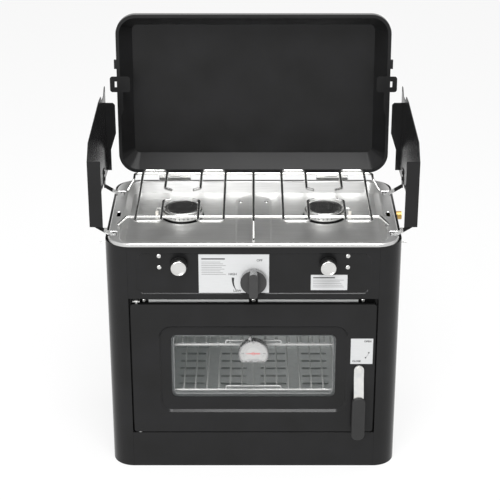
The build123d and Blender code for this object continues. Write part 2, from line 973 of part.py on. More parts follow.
def door_brackets():
    # The plate that holds the upper hinge pin and the keeper for the pawl
    reach = door_pin_radius + pin_head
    plate = block(hinge_x - reach, hinge_x + reach, hinge_y - pin_head, frame_front,
                  bracket_level, bracket_level + sheet)
    plate -= rod((hinge_x, hinge_y, bracket_level), (hinge_x, hinge_y, bracket_level + sheet),
                 door_pin_radius + pin_gap)
    x0 = handle_x + pawl_reach + keeper_gap
    keeper = block(x0, x0 + keeper_width, liner_back + part_gap, frame_front,
                   handle_level - keeper_half, handle_level + keeper_half)
    return [plate, keeper]


# Door handle

def handle_strap():
    # A flat strap that turns on the shaft and bends out into the grip
    x0 = handle_x - handle_width / 2
    x1 = handle_x + handle_width / 2
    back = front - handle_standoff
    face = back - handle_thick
    out = handle_bend_out
    points = [
        (face, handle_level), (back, handle_level), (back, handle_bend_top),
        (back - out, handle_bend_low), (back - out, handle_strap_low),
        (face - out, handle_strap_low), (face - out, handle_bend_low), (face, handle_bend_top),
    ]
    strap = prism_yz(points, x0, x1 - x0)
    strap += rod((handle_x, face, handle_level), (handle_x, back, handle_level), handle_width / 2)
    return strap - handle_hole(face, back)


def handle_grip():
    # A moulded grip with a slot for the strap
    strap_middle = front - handle_standoff - handle_thick / 2 - handle_bend_out
    y0 = strap_middle - grip_depth / 2 - handle_thick / 2
    half = grip_width / 2
    plan = upright(handle_x - half, handle_x + half, grip_bottom, grip_top, half - grip_end_flat, y0)
    grip = slab(plan, grip_depth)
    ends = grip.faces().sort_by(Axis.Y)
    grip = fillet(ends[0].edges() + ends[-1].edges(), grip_depth / 4)
    x0 = handle_x - handle_width / 2 - pin_gap
    x1 = handle_x + handle_width / 2 + pin_gap
    slot_half = handle_thick / 2 + pin_gap
    return grip - block(x0, x1, strap_middle - slot_half, strap_middle + slot_half,
                        handle_strap_low, grip_top)


def handle_shaft():
    # The shaft through the door with a head, a collar and the pawl behind the liner
    z = handle_level
    strap_back = front - handle_standoff
    strap_face = strap_back - handle_thick
    pawl_y = liner_back + part_gap
    shaft = rod((handle_x, strap_face - screw_head, z), (handle_x, pawl_y, z), shaft_radius)
    shaft += rod((handle_x, strap_face - screw_head, z), (handle_x, strap_face, z), 1.5 * shaft_radius)
    shaft += rod((handle_x, strap_back, z), (handle_x, front - part_gap, z), collar_radius)
    shaft += rod((handle_x, pawl_y, z), (handle_x, pawl_y + pawl_thick, z), pawl_half)
    shaft += block(handle_x, handle_x + pawl_reach, pawl_y, pawl_y + pawl_thick,
                   z - pawl_half, z + pawl_half)
    return shaft


# Thermometer

def dial_block(inset, y0, y1):
    # A disc with a flat underside between two depths
    radius = dial_radius - inset
    disc = rod((0, y0, dial_level), (0, y1, dial_level), radius)
    return disc & block(-radius, radius, y0, y1, dial_level - dial_drop + inset, dial_level + radius)


case_front = glass_front - case_depth
dial_back = case_front + dial_recess
dial_front = dial_back - dial_thick
needle_back = dial_front - part_gap


def thermometer_case():
    # The case with its stem through the glass, and the nut behind the glass
    case = dial_block(0, case_front, glass_front) - dial_block(dial_rim, case_front, dial_back)
    low = dial_level + dial_radius - dial_rim
    tag = [(tag_x - tag_half, low), (tag_x + tag_half, low), (tag_x, low + tag_height)]
    case += prism_xz(tag, glass_front - tag_depth, tag_depth)
    case += rod((0, glass_front, dial_level), (0, glass_front + dial_stem_length, dial_level), dial_stem_radius)
    nut = rod((0, glass_back, dial_level), (0, glass_back + dial_nut_depth, dial_level), dial_nut_radius)
    nut -= rod((0, glass_back, dial_level), (0, glass_back + dial_nut_depth, dial_level),
               dial_stem_radius + pin_gap)
    return [case, nut]


def thermometer_dial():
    # The printed dial with the pin that carries the needle
    pin = rod((0, needle_back - 2 * needle_thick, dial_level), (0, dial_front, dial_level), needle_pin)
    return dial_block(dial_rim, dial_front, dial_back) + pin


def thermometer_needle():
    # A flat pointer on a small hub
    y0 = needle_back - needle_thick
    half = needle_width / 2
    needle = block(-needle_reach, needle_tail, y0, needle_back, dial_level - half, dial_level + half)
    needle += rod((0, y0, dial_level), (0, needle_back, dial_level), needle_hub)
    return needle - rod((0, y0, dial_level), (0, needle_back, dial_level), needle_pin + pin_gap)


def thermometer_lens():
    return dial_block(dial_rim, case_front, case_front + lens_thick)


# Lid

def lid_face(inset, corner, level):
    # The plan of the closed lid at one level
    half = lid_width / 2 - inset
    return rounded(-half, half, lid_front + inset, lid_back - inset, corner, level)


def lid_shell():
    # A deep pressed lid with a turned in hem and a lug on each side
    wall_top = lid_level + lid_wall
    top = lid_level + lid_depth
    rise = lid_depth - lid_wall
    inner_inset = lid_taper * (rise - sheet) / rise + sheet * hypot(lid_taper, rise) / rise
    shell = extrude(lid_face(0, lid_corner, lid_level), lid_wall)
    shell += loft([lid_face(0, lid_corner, wall_top), lid_face(lid_taper, lid_panel_corner, top)])
    shell -= extrude(lid_face(sheet, lid_corner - sheet, lid_level), lid_wall)
    shell -= loft([lid_face(sheet, lid_corner - sheet, wall_top),
                   lid_face(inner_inset, lid_panel_corner - sheet, top - sheet)])
    hem = extrude(lid_face(sheet, lid_corner - sheet, lid_level), sheet)
    hem -= extrude(lid_face(sheet + lid_hem, lid_corner - sheet - lid_hem, lid_level), sheet)
    shell += hem
    for side in (-1, 1):
        edge = side * lid_width / 2
        shell += block(edge, edge + side * lug_reach, lug_y - lug_length / 2, lug_y + lug_length / 2,
                       lug_low, lug_low + lug_height)
    return swing_lid(shell)


def knuckle(x0, x1):
    # A rolled eye around the lid axis
    start = (x0, lid_axis_y, lid_axis_z)
    end = (x1, lid_axis_y, lid_axis_z)
    return rod(start, end, knuckle_radius), rod(start, end, pin_radius + pin_gap)


def lid_hinge_leaves():
    # Leaves on the back panel with two outer knuckles each
    solids = []
    low = lid_axis_z - knuckle_radius
    for x in (-hinge_spread, hinge_spread):
        x0 = x - hinge_width / 2
        x1 = x + hinge_width / 2
        leaf = block(x0, x1, half_depth, half_depth + sheet, low + sheet - hinge_leaf, low + sheet)
        for a, b in ((x0, x - hinge_middle / 2), (x + hinge_middle / 2, x1)):
            eye, bore = knuckle(a, b)
            leaf += eye + block(a, b, half_depth, lid_axis_y, low, low + sheet)
            leaf -= bore
        solids.append(leaf)
    return solids


def lid_hinge_flaps():
    # Flaps on the lid with one middle knuckle each
    solids = []
    high = lid_axis_z + knuckle_radius
    for x in (-hinge_spread, hinge_spread):
        x0 = x - hinge_width / 2
        x1 = x + hinge_width / 2
        half = hinge_middle / 2 - part_gap
        flap = block(x0, x1, lid_back, lid_back + sheet, high - sheet, high + hinge_flap)
        eye, bore = knuckle(x - half, x + half)
        flap += eye + block(x - half, x + half, lid_back, lid_axis_y, high - sheet, high)
        solids.append(swing_lid(flap - bore))
    return solids


def lid_catch_plates():
    # Flat plates on the rim of the lid with a slotted tab that stands out at the side
    low = lid_level - catch_thick
    edge = lid_width / 2
    tab_back = catch_tab_front + catch_tab_length
    neck_back = tab_back + catch_neck_length
    tab = rounded(catch_tab_inner, catch_tab_outer, catch_tab_front, tab_back, lid_hem, low)
    plate = extrude(tab, catch_thick)
    points = [
        (catch_neck_inner, tab_back - lid_hem), (edge, tab_back - lid_hem),
        (edge, neck_back + catch_tail_length), (catch_neck_inner, neck_back),
    ]
    plate += prism_xy(points, low, catch_thick)
    middle = (catch_tab_front + tab_back) / 2
    plate -= block(edge, edge + catch_slot_width, middle - catch_slot_length / 2,
                   middle + catch_slot_length / 2, low, lid_level)
    return both(swing_lid(plate))


# Side wings, described on the right

def place_wing(shape):
    # From the frame of the panel, with its inner face at x = 0, to its place
    return Pos(wing_axis_x + wing_rear_offset, wing_rear_y, 0) * Rot(Z=wing_yaw) * shape


def wing():
    # A panel with a lip along its front edge and a shaped flange at its rear
    dip_out = wing_dip_end + wing_dip
    points = [
        (0, wing_low_rear), (0, wing_high), (-wing_corner, wing_high),
        (-wing_dip_start, wing_high - wing_dip), (-wing_dip_end, wing_high - wing_dip),
        (-dip_out, wing_high), (-wing_flat_end, wing_high), (wing_nose - wing_length, wing_shoulder),
        (-wing_length, wing_front_top), (-wing_length, wing_low_front),
    ]
    panel = prism_yz(points, 0, sheet)
    panel += block(-wing_lip, sheet, -wing_length - sheet, -wing_length, wing_low_front, wing_front_top)
    low, mid, high, top = wing_flange_levels
    reach = wing_flange_reach
    flange = [
        (0, wing_low_rear), (-wing_flange_foot, wing_low_rear), (-wing_flange_foot, low),
        (-reach, mid), (-reach, high), (top - high - reach, top), (0, top),
    ]
    return place_wing(panel + prism_xz(flange, -sheet, sheet))


def wing_strap(y):
    # A strap that turns on a pin, slants out and stands up inside the panel
    half = strap_width / 2
    along = (y - wing_rear_y) / cos(radians(wing_yaw))
    run = wing_rear_offset - along * sin(radians(wing_yaw)) - strap_thick / 2
    rise = run * tan(radians(strap_angle))
    dx = sin(radians(strap_angle)) * strap_thick / 2
    dz = cos(radians(strap_angle)) * strap_thick / 2
    x = wing_axis_x
    z = wing_axis_z
    points = [(x + dx, z - dz), (x + run + dx, z + rise - dz), (x + run - dx, z + rise + dz), (x - dx, z + dz)]
    strap = prism_xz(points, y - half, strap_width)
    strap += rod((x, y - half, z), (x, y + half, z), knuckle_radius)
    strap += place_wing(block(-strap_thick, 0, along - half, along + half, z + rise - strap_thick, strap_top))
    return strap - rod((x, y - half, z), (x, y + half, z), pin_radius + pin_gap)


def wing_straps():
    # Two straps and the heads of their rivets
    solids = []
    for y in strap_places:
        solids.append(wing_strap(y))
        along = (y - wing_rear_y) / cos(radians(wing_yaw))
        for level in strap_rivets:
            head = rod((-strap_thick - rivet_height, along, level), (-strap_thick, along, level), rivet_radius)
            solids.append(place_wing(head))
    return solids


def wing_bracket(y):
    # A folded bracket under the tray rim with an ear each side of the strap
    inner_face = strap_width / 2 + ear_gap
    outer_face = inner_face + ear_thick
    bracket = block(bracket_inner, bracket_outer, y - outer_face, y + outer_face,
                    bracket_low, rim_underside)
    bracket -= block(bracket_inner, bracket_outer, y - inner_face, y + inner_face,
                     bracket_low + strap_thick, rim_underside)
    z = wing_axis_z
    return bracket - rod((wing_axis_x, y - outer_face, z), (wing_axis_x, y + outer_face, z),
                         pin_radius + pin_gap)


def wing_brackets():
    return [solid for y in strap_places for solid in both(wing_bracket(y))]


def flip_all(shapes):
    return [flip(shape) for shape in shapes]


# Wire hooks on the sides

def latch_bracket():
    # Two ears on a small plate
    y0 = latch_bracket_y - latch_ear_spread / 2 - latch_ear
    y1 = latch_bracket_y + latch_ear_spread / 2 + latch_ear
    reach = latch_x + latch_reach
    half = latch_reach
    bracket = block(half_width, reach, y0, y1, latch_level - half, latch_level + half)
    bracket -= block(half_width + sheet, reach, y0 + latch_ear, y1 - latch_ear,
                     latch_level - half, latch_level + half)
    return bracket - rod((latch_x, y0, latch_level), (latch_x, y1, latch_level), latch_wire + pin_gap)


def latch_hook():
    # A wire that turns in the ears, hangs down and ends in an outward tip
    low = latch_level - latch_drop
    points = [
        (latch_x, latch_bracket_y - latch_ear_spread, latch_level), (latch_x, latch_y, latch_level),
        (latch_x, latch_y, low), (latch_x + latch_tip, latch_y, low - latch_wire),
    ]
    return wire(points, latch_wire, 2 * latch_wire)


# Knobs

def stem(x, level):
    # The valve stem that carries a knob and slides into the valve
    start = (x, knob_back - stem_in_knob, level)
    return rod(start, (x, valve_front + stem_in_valve, level), stem_radius)


def knob_bore(x, level):
    start = (x, knob_back - stem_in_knob - pin_gap, level)
    return rod(start, (x, knob_back, level), stem_radius + pin_gap)


def small_knob(x):
    # A round knob with shallow flutes and a domed cap
    z = small_knob_level
    y0 = knob_back - small_knob_depth
    body = rod((x, y0, z), (x, knob_back, z), small_knob_radius)
    body -= knob_bore(x, z)
    cap = rod((x, y0 - small_cap_depth, z), (x, y0, z), small_cap_radius)
    cap = chamfer(cap.faces().sort_by(Axis.Y)[0].edges(), small_cap_depth / 3)
    return [body, cap]


def oven_knob():
    # A disc with a grip bar across it
    z = oven_knob_level
    y0 = knob_back - oven_knob_disc
    half = oven_grip_width / 2
    body = rod((0, y0, z), (0, knob_back, z), oven_knob_radius)
    bar = upright(-half, half, z - oven_grip_length / 2, z + oven_grip_length / 2, oven_grip_corner,
                  y0 - oven_grip_depth)
    return body + slab(bar, oven_grip_depth) - knob_bore(0, z)


# Pins of every hinge

def hinge_pins():
    # Two lid pins, four wing pins and two door pins
    solids = []
    for x in (-hinge_spread, hinge_spread):
        start = (x - hinge_width / 2, lid_axis_y, lid_axis_z)
        solids.append(rod(start, (x + hinge_width / 2, lid_axis_y, lid_axis_z), pin_radius))
    reach = strap_width / 2 + ear_gap + ear_thick + part_gap
    for y in strap_places:
        start = (wing_axis_x, y - reach, wing_axis_z)
        solids += both(rod(start, (wing_axis_x, y + reach, wing_axis_z), pin_radius))
    top = bracket_level + sheet
    into = pin_head
    pin = rod((hinge_x, hinge_y, door_top - into), (hinge_x, hinge_y, top + screw_head), door_pin_radius)
    solids.append(pin + rod((hinge_x, hinge_y, top), (hinge_x, hinge_y, top + screw_head), pin_head))
    low = base_panel_top
    pin = rod((hinge_x, hinge_y, low - into), (hinge_x, hinge_y, door_bottom + into), door_pin_radius)
    collar = rod((hinge_x, hinge_y, low), (hinge_x, hinge_y, door_bottom - part_gap), pin_head)
    solids.append(pin + collar)
    return solids


nodes = {
    "base_pan": base_pan(),
    "left_side_panel": flip(side_panel()),
    "right_side_panel": right_side_panel(),
    "back_panel": back_panel(),
    "front_base_panel": front_base_panel(),
    "control_panel": control_panel(),
    "panel_labels": panel_labels(),
    "oven_front_frame": oven_front_frame(),
    "frame_strips": frame_strips(),
    "screws": screws(),
    "heat_shield": heat_shield(),
    "cooktop_tray": cooktop_tray(),
    "left_burner": burner(-burner_x),
    "right_burner": burner(burner_x),
    "burner_caps": burner_caps(),
    "igniters": igniters(),
    "grate_rods": grate_rods(),
    "left_grate_loops": grate_loops(-1),
    "right_grate_loops": grate_loops(1),
    "gas_manifold": gas_manifold(),
    "gas_inlet": gas_inlet(),
    "gas_valves": gas_valves(),
    "oven_gas_tube": oven_gas_tube(),
    "oven_box": oven_box(),
    "oven_floor_plate": oven_floor_plate(),
    "oven_burner": oven_burner(),
    "rack_rails": rack_rails(),
    "lower_rack": rack(rack_levels[0]),
    "upper_rack": rack(rack_levels[1]),
    "door_skin": door_skin(),
    "door_window": door_window(),
    "door_liner": door_liner(),
    "door_gasket": door_gasket(),
    "door_brackets": door_brackets(),
    "handle_strap": handle_strap(),
    "handle_grip": handle_grip(),
    "handle_shaft": handle_shaft(),
    "thermometer_case": thermometer_case(),
    "thermometer_dial": thermometer_dial(),
    "thermometer_needle": thermometer_needle(),
    "thermometer_lens": thermometer_lens(),
    "lid_shell": lid_shell(),
    "lid_hinge_leaves": lid_hinge_leaves(),
    "lid_hinge_flaps": lid_hinge_flaps(),
    "lid_catch_plates": lid_catch_plates(),
    "left_wing": flip(wing()),
    "right_wing": wing(),
    "left_wing_straps": flip_all(wing_straps()),
    "right_wing_straps": wing_straps(),
    "wing_brackets": wing_brackets(),
    "latch_brackets": both(latch_bracket()),
    "left_latch_hook": flip(latch_hook()),
    "right_latch_hook": latch_hook(),
    "left_knob": small_knob(-burner_x),
    "right_knob": small_knob(burner_x),
    "oven_knob": oven_knob(),
    "left_stem": stem(-burner_x, small_knob_level),
    "right_stem": stem(burner_x, small_knob_level),
    "oven_stem": stem(0, oven_knob_level),
    "hinge_pins": hinge_pins(),
}

os.makedirs("parts", exist_ok=True)
for name, shape in nodes.items():
    pieces = shape if isinstance(shape, list) else [shape]
    solids = [solid for piece in pieces for solid in piece.solids()]
    export_step(Compound(solids), f"parts/{name}.step")
    print(name, len(solids))
print("nodes", len(nodes))
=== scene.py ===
import json
import math
import bmesh
import bpy
from mathutils import Matrix, Vector

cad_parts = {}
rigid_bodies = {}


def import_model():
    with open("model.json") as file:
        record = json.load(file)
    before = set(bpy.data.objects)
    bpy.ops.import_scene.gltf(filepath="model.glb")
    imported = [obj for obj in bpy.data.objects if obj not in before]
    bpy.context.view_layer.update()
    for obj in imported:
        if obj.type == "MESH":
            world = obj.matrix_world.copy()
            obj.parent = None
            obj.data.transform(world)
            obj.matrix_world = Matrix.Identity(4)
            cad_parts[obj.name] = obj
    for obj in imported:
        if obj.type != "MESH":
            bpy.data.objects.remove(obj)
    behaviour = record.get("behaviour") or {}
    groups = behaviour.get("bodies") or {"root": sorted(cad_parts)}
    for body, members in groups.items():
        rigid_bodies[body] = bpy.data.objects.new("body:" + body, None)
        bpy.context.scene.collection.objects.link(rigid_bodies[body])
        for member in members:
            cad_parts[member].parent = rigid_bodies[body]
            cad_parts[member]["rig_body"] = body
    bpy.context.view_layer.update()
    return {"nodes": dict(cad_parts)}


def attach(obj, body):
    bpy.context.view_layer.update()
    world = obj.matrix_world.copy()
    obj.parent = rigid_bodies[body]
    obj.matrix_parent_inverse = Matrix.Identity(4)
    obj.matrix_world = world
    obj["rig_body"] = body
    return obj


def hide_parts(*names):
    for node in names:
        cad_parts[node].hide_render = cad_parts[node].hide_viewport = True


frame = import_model()
nodes = frame["nodes"]
mm = 0.001
print("stage: frame loaded, nodes", len(nodes))


# The camera stands in front and looks a little down

cameraSizes = {"lens": 110.6, "sensor": 36, "shiftX": -0.007, "distance": 2.8298, "elevation": 24.54,
               "aimHeight": 0.3691, "farClip": 50}


def makeCamera(s):
    data = bpy.data.cameras.new("frontCamera")
    camera = bpy.data.objects.new("frontCamera", data)
    bpy.context.scene.collection.objects.link(camera)
    tilt = math.radians(s["elevation"])
    aim = Vector((0, 0, s["aimHeight"]))
    back = Vector((0, -math.cos(tilt), math.sin(tilt)))
    camera.location = aim + back * s["distance"]
    camera.rotation_euler = (-back).to_track_quat("-Z", "Y").to_euler()
    data.lens = s["lens"]
    data.sensor_width = s["sensor"]
    data.shift_x = s["shiftX"]
    data.clip_end = s["farClip"]
    bpy.context.scene.camera = camera


makeCamera(cameraSizes)


# Colour and node helpers

def toLinear(code):
    # sRGB hex to the linear values that a shader takes
    values = []
    for i in (1, 3, 5):
        c = int(code[i:i + 2], 16) / 255
        values.append(c / 12.92 if c <= 0.04045 else ((c + 0.055) / 1.055) ** 2.4)
    return (*values, 1.0)


def addNode(tree, kind, inputs=None, **settings):
    # one node with its settings, its values and its links
    node = tree.nodes.new(kind)
    for key, value in settings.items():
        setattr(node, key, value)
    for key, value in (inputs or {}).items():
        if isinstance(value, bpy.types.NodeSocket):
            tree.links.new(value, node.inputs[key])
        else:
            node.inputs[key].default_value = value
    return node


def newMaterial(name):
    material = bpy.data.materials.new(name)
    material.use_nodes = True
    tree = material.node_tree
    tree.nodes.clear()
    shader = addNode(tree, "ShaderNodeBsdfPrincipled")
    addNode(tree, "ShaderNodeOutputMaterial", {"Surface": shader.outputs[0]})
    return material, tree, shader


def objectPoint(tree, stretch=(1, 1, 1)):
    # object coordinates, stretched for brushed or rolled patterns
    place = addNode(tree, "ShaderNodeTexCoord").outputs["Object"]
    return addNode(tree, "ShaderNodeMapping", {"Vector": place, "Scale": stretch}).outputs[0]


def perMm(size):
    # noise scale that gives a pattern of this many millimetres
    return 1 / (size * mm)


def noiseOf(tree, point, size, detail=2.0, roughness=0.5):
    return addNode(tree, "ShaderNodeTexNoise", {"Vector": point, "Scale": perMm(size), "Detail": detail,
                                                "Roughness": roughness}).outputs[0]


def spread(tree, value, low, high, fromLow=0.3, fromHigh=0.7):
    # a 0 to 1 pattern taken to a range
    return addNode(tree, "ShaderNodeMapRange", {"Value": value, "From Min": fromLow, "From Max": fromHigh,
                                                "To Min": low, "To Max": high}).outputs[0]


def tint(tree, value, codeLow, codeHigh):
    # a pattern as a mix of two colours
    mix = addNode(tree, "ShaderNodeMix", {0: value}, data_type="RGBA")
    mix.inputs[6].default_value = toLinear(codeLow)
    mix.inputs[7].default_value = toLinear(codeHigh)
    return mix.outputs[2]


def bumpOf(tree, height, strength, distance):
    return addNode(tree, "ShaderNodeBump", {"Height": height, "Strength": strength,
                                            "Distance": distance * mm}).outputs[0]


def setSurface(tree, shader, **values):
    # sockets by name with spaces left out
    for key, value in values.items():
        socket = next(i for i in shader.inputs if i.name.replace(" ", "").lower() == key.lower())
        if isinstance(value, bpy.types.NodeSocket):
            tree.links.new(value, socket)
        else:
            socket.default_value = value


# Materials

def clouded(name, size, detail, codes, shine, **values):
    # colour and shine drift in clouds of this many millimetres, and a single value stays even
    material, tree, shader = newMaterial(name)
    cloud = noiseOf(tree, objectPoint(tree), size, detail)
    colour = toLinear(codes) if isinstance(codes, str) else tint(tree, cloud, *codes)
    rough = shine if isinstance(shine, float) else spread(tree, cloud, *shine)
    setSurface(tree, shader, BaseColor=colour, Roughness=rough, **values)
    return material


def blackEnamelPaint():
    # baked charcoal enamel: semi-gloss, faint orange peel, fine pale specks, a little uneven in shine
    material, tree, shader = newMaterial("blackEnamelPaint")
    point = objectPoint(tree)
    cloud = noiseOf(tree, point, 70, 3)
    peel = noiseOf(tree, point, 1.6, 2)
    fleck = noiseOf(tree, point, 2.4, 4, 0.7)
    colour = tint(tree, spread(tree, cloud, 0, 1), "#171717", "#1c1c1d")
    dust = spread(tree, fleck, 0, 0.25, 0.66, 0.8)
    mixed = addNode(tree, "ShaderNodeMix", {0: dust, 6: colour}, data_type="RGBA")
    mixed.inputs[7].default_value = toLinear("#3a3a39")
    setSurface(tree, shader, BaseColor=mixed.outputs[2], Roughness=spread(tree, cloud, 0.2, 0.26),
               SpecularIORLevel=0.22, Normal=bumpOf(tree, peel, 0.06, 0.05))
    return material


def brushedStainless():
    # stainless sheet: fine brush lines along the width, soft streaked reflections
    material, tree, shader = newMaterial("brushedStainless")
    lines = noiseOf(tree, objectPoint(tree, (0.02, 1, 1)), 1.1, 3, 0.5)
    cloud = noiseOf(tree, objectPoint(tree), 60, 2)
    colour = tint(tree, spread(tree, lines, 0, 1), "#bcbcbb", "#cccccb")
    setSurface(tree, shader, BaseColor=colour, Metallic=0.85, Roughness=spread(tree, cloud, 0.33, 0.39),
               Normal=bumpOf(tree, lines, 0.08, 0.03))
    return material


def zincPlate():
    # bright zinc over steel: bluish grey with a soft yellowish cloud
    material, tree, shader = newMaterial("zincPlate")
    cloud = noiseOf(tree, objectPoint(tree), 9, 3)
    colour = tint(tree, spread(tree, cloud, 0, 1), "#d0d1d1", "#dddcd8")
    setSurface(tree, shader, BaseColor=colour, Metallic=0.85, Roughness=spread(tree, cloud, 0.3, 0.42))
    return material


hatchSizes = {"pitch": 2.6, "bandsPerUnit": 3.18, "turns": (0.6, 0.35, math.radians(45))}


def hatchedZinc(s):
    # zinc strap pressed with slanting lines: pale ridges over valleys greyed with painted shade
    material, tree, shader = newMaterial("hatchedZinc")
    place = addNode(tree, "ShaderNodeTexCoord").outputs["Object"]
    slant = addNode(tree, "ShaderNodeMapping", {"Vector": place, "Rotation": s["turns"]})
    rate = perMm(s["pitch"]) / s["bandsPerUnit"]
    lines = addNode(tree, "ShaderNodeTexWave", {"Vector": slant.outputs[0], "Scale": rate}, wave_type="BANDS",
                    bands_direction="X").outputs["Fac"]
    # the grey of the valleys is painted shade in the pressed lines
    colour = tint(tree, spread(tree, lines, 0, 1, 0.25, 0.6), "#8f9091", "#ececea")
    setSurface(tree, shader, BaseColor=colour, Metallic=0.5, Roughness=0.4, Normal=bumpOf(tree, lines, 0.6, 0.5))
    return material


def galvanisedSheet():
    # hot dipped sheet: spangles some 8 mm wide that catch light at their own angle
    material, tree, shader = newMaterial("galvanisedSheet")
    point = objectPoint(tree)
    cells = addNode(tree, "ShaderNodeTexVoronoi", {"Vector": point, "Scale": perMm(8)})
    grey = addNode(tree, "ShaderNodeSeparateColor", {"Color": cells.outputs["Color"]}).outputs[0]
    colour = tint(tree, grey, "#eceeed", "#f4f5f4")
    setSurface(tree, shader, BaseColor=colour, Metallic=0.12, Roughness=spread(tree, grey, 0.4, 0.5, 0, 1))
    return material


def darkenedLinerSteel():
    # aluminised steel round the pane, its grey darkened as painted shade round the window
    material, tree, shader = newMaterial("aluminisedSteel")
    cloud = noiseOf(tree, objectPoint(tree), 25, 3)
    setSurface(tree, shader, BaseColor=tint(tree, spread(tree, cloud, 0, 1), "#9a9b9b", "#a6a7a7"), Metallic=0.3,
               Roughness=spread(tree, cloud, 0.4, 0.5))
    return material


def glossPlastic():
    # moulded black plastic: clean gloss with a slight swirl
    material, tree, shader = newMaterial("mouldedGlossPlastic")
    swirl = noiseOf(tree, objectPoint(tree), 12, 2)
    setSurface(tree, shader, BaseColor=tint(tree, swirl, "#141414", "#1c1c1c"),
               Roughness=spread(tree, swirl, 0.24, 0.34), Normal=bumpOf(tree, swirl, 0.05, 0.1))
    return material


def grainedPlastic(name, size, codes, shine, grainSize, grainStrength, grainDeep):
    # moulded plastic: matte clouds under a fine spark-eroded grain
    material, tree, shader = newMaterial(name)
    grain = noiseOf(tree, objectPoint(tree), grainSize, 2)
    cloud = noiseOf(tree, objectPoint(tree), size, 2)
    setSurface(tree, shader, BaseColor=tint(tree, cloud, *codes), SpecularIORLevel=0.3,
               Roughness=spread(tree, cloud, *shine), Normal=bumpOf(tree, grain, grainStrength, grainDeep))
    return material


def printedAluminium():
    # anodised plate with a satin printed face
    material, tree, shader = newMaterial("printedAluminium")
    grain = noiseOf(tree, objectPoint(tree, (0.05, 1, 1)), 0.9, 3)
    setSurface(tree, shader, BaseColor=tint(tree, grain, "#bfc0c1", "#cbcccc"), Metallic=0.2, Roughness=0.42)
    return material


def clearGlass():
    # tempered pane: almost no colour, sharp reflection
    material, tree, shader = newMaterial("temperedGlass")
    smear = noiseOf(tree, objectPoint(tree), 45, 3)
    setSurface(tree, shader, BaseColor=toLinear("#5a6060"), Alpha=0.12, Roughness=spread(tree, smear, 0.02, 0.06))
    return material


def lensPlastic():
    # thin clear cover over the dial
    material, tree, shader = newMaterial("clearLens")
    smear = noiseOf(tree, objectPoint(tree), 12, 2)
    setSurface(tree, shader, BaseColor=toLinear("#ffffff"), Alpha=0.1, Roughness=spread(tree, smear, 0.03, 0.06))
    return material


def ropeSeal():
    # braided glass rope: soft dark grey with a 2 mm braid
    material, tree, shader = newMaterial("glassRope")
    braid = addNode(tree, "ShaderNodeTexVoronoi", {"Vector": objectPoint(tree), "Scale": perMm(2)}).outputs[0]
    setSurface(tree, shader, BaseColor=tint(tree, braid, "#4a4a48", "#262625"), Roughness=0.9,
               Normal=bumpOf(tree, braid, 0.5, 0.6))
    return material


def machinedBrass():
    # turned brass: warm metal with fine lathe lines
    material, tree, shader = newMaterial("machinedBrass")
    lines = noiseOf(tree, objectPoint(tree, (1, 0.1, 0.1)), 0.9, 2)
    setSurface(tree, shader, BaseColor=tint(tree, lines, "#b08d4c", "#cfae6e"), Metallic=1.0,
               Roughness=spread(tree, lines, 0.25, 0.4))
    return material


# height of the painted shade band under the flame ports, how far it stays black and where it has faded, in
# millimetres
shadeBandSizes = {"level": 432.5, "blackHalf": 3.5, "cleanHalf": 5.0}


def castAluminium(s):
    # die cast alloy: light and grainy, with a black band of painted shade at the foot of the flame ring, under the
    # overhang of the burner head
    material, tree, shader = newMaterial("castAluminium")
    grain = noiseOf(tree, objectPoint(tree), 1.2, 3)
    toneCloud = noiseOf(tree, objectPoint(tree), 25, 4)
    colour = tint(tree, spread(tree, toneCloud, 0, 1), "#c0c0be", "#dadad8")
    # the black band round the foot of the flame ring is painted shade, not soot
    height = addNode(tree, "ShaderNodeSeparateXYZ", {"Vector": objectPoint(tree)}).outputs["Z"]
    fromBand = addNode(tree, "ShaderNodeMath", {0: height, 1: s["level"] * mm}, operation="SUBTRACT").outputs[0]
    distance = addNode(tree, "ShaderNodeMath", {0: fromBand}, operation="ABSOLUTE").outputs[0]
    outsideShade = spread(tree, distance, 0, 1, s["blackHalf"] * mm, s["cleanHalf"] * mm)
    mixed = addNode(tree, "ShaderNodeMix", {0: outsideShade, 7: colour}, data_type="RGBA")
    mixed.inputs[6].default_value = toLinear("#0e0e0e")
    setSurface(tree, shader, BaseColor=mixed.outputs[2], Metallic=0.6, Roughness=spread(tree, grain, 0.36, 0.5),
               Normal=bumpOf(tree, grain, 0.15, 0.1))
    return material


paint = blackEnamelPaint()
stainless = brushedStainless()
zinc = zincPlate()
hatched = hatchedZinc(hatchSizes)
galvanised = galvanisedSheet()
linerSteel = darkenedLinerSteel()
knobPlastic = glossPlastic()
# phenolic handle: nearly black and matte
grip = grainedPlastic("phenolicGrip", 20, ("#242424", "#2c2c2c"), (0.46, 0.58), 0.8, 0.25, 0.12)
# face of the oven knob: satin charcoal
knobFace = grainedPlastic("charcoalPlastic", 10, ("#323232", "#3b3b3b"), (0.36, 0.46), 0.7, 0.15, 0.1)
plateFace = printedAluminium()
glass = clearGlass()
lens = lensPlastic()
rope = ropeSeal()
brass = machinedBrass()
cast = castAluminium(shadeBandSizes)
# bright chrome plate over drawn wire, faint haze from handling
chrome = clouded("chromeWire", 14, 3, "#d6d6d4", (0.12, 0.24), Metallic=1.0)
# nickel plated rack wire: pale, with a soft sheen
nickel = clouded("nickelWire", 12, 2, ("#dcdcda", "#ececea"), (0.3, 0.4), Metallic=0.35)
# plated or polished metal: grey with a soft blur
satin = clouded("satinMetal", 9, 2, ("#949494", "#a6a6a6"), (0.22, 0.34), Metallic=0.9)
# glazed insulator: creamy white, glossy
ceramic = clouded("glazedCeramic", 6, 2, ("#e6e2d8", "#f2efe8"), (0.2, 0.3))
# printed card under the lens: matte
card = clouded("printedDial", 5, 2, ("#9f9f9d", "#a8a8a6"), 0.55)
# screen printed inks, a little uneven
redInk = clouded("redInk", 3, 3, ("#b3191a", "#c92524"), 0.45)
darkInk = clouded("darkInk", 3, 3, ("#1b1b1c", "#262627"), 0.45)
greyInk = clouded("greyInk", 3, 3, ("#808081", "#949495"), 0.45)
print("stage: materials made")


# Floor, backdrop and light

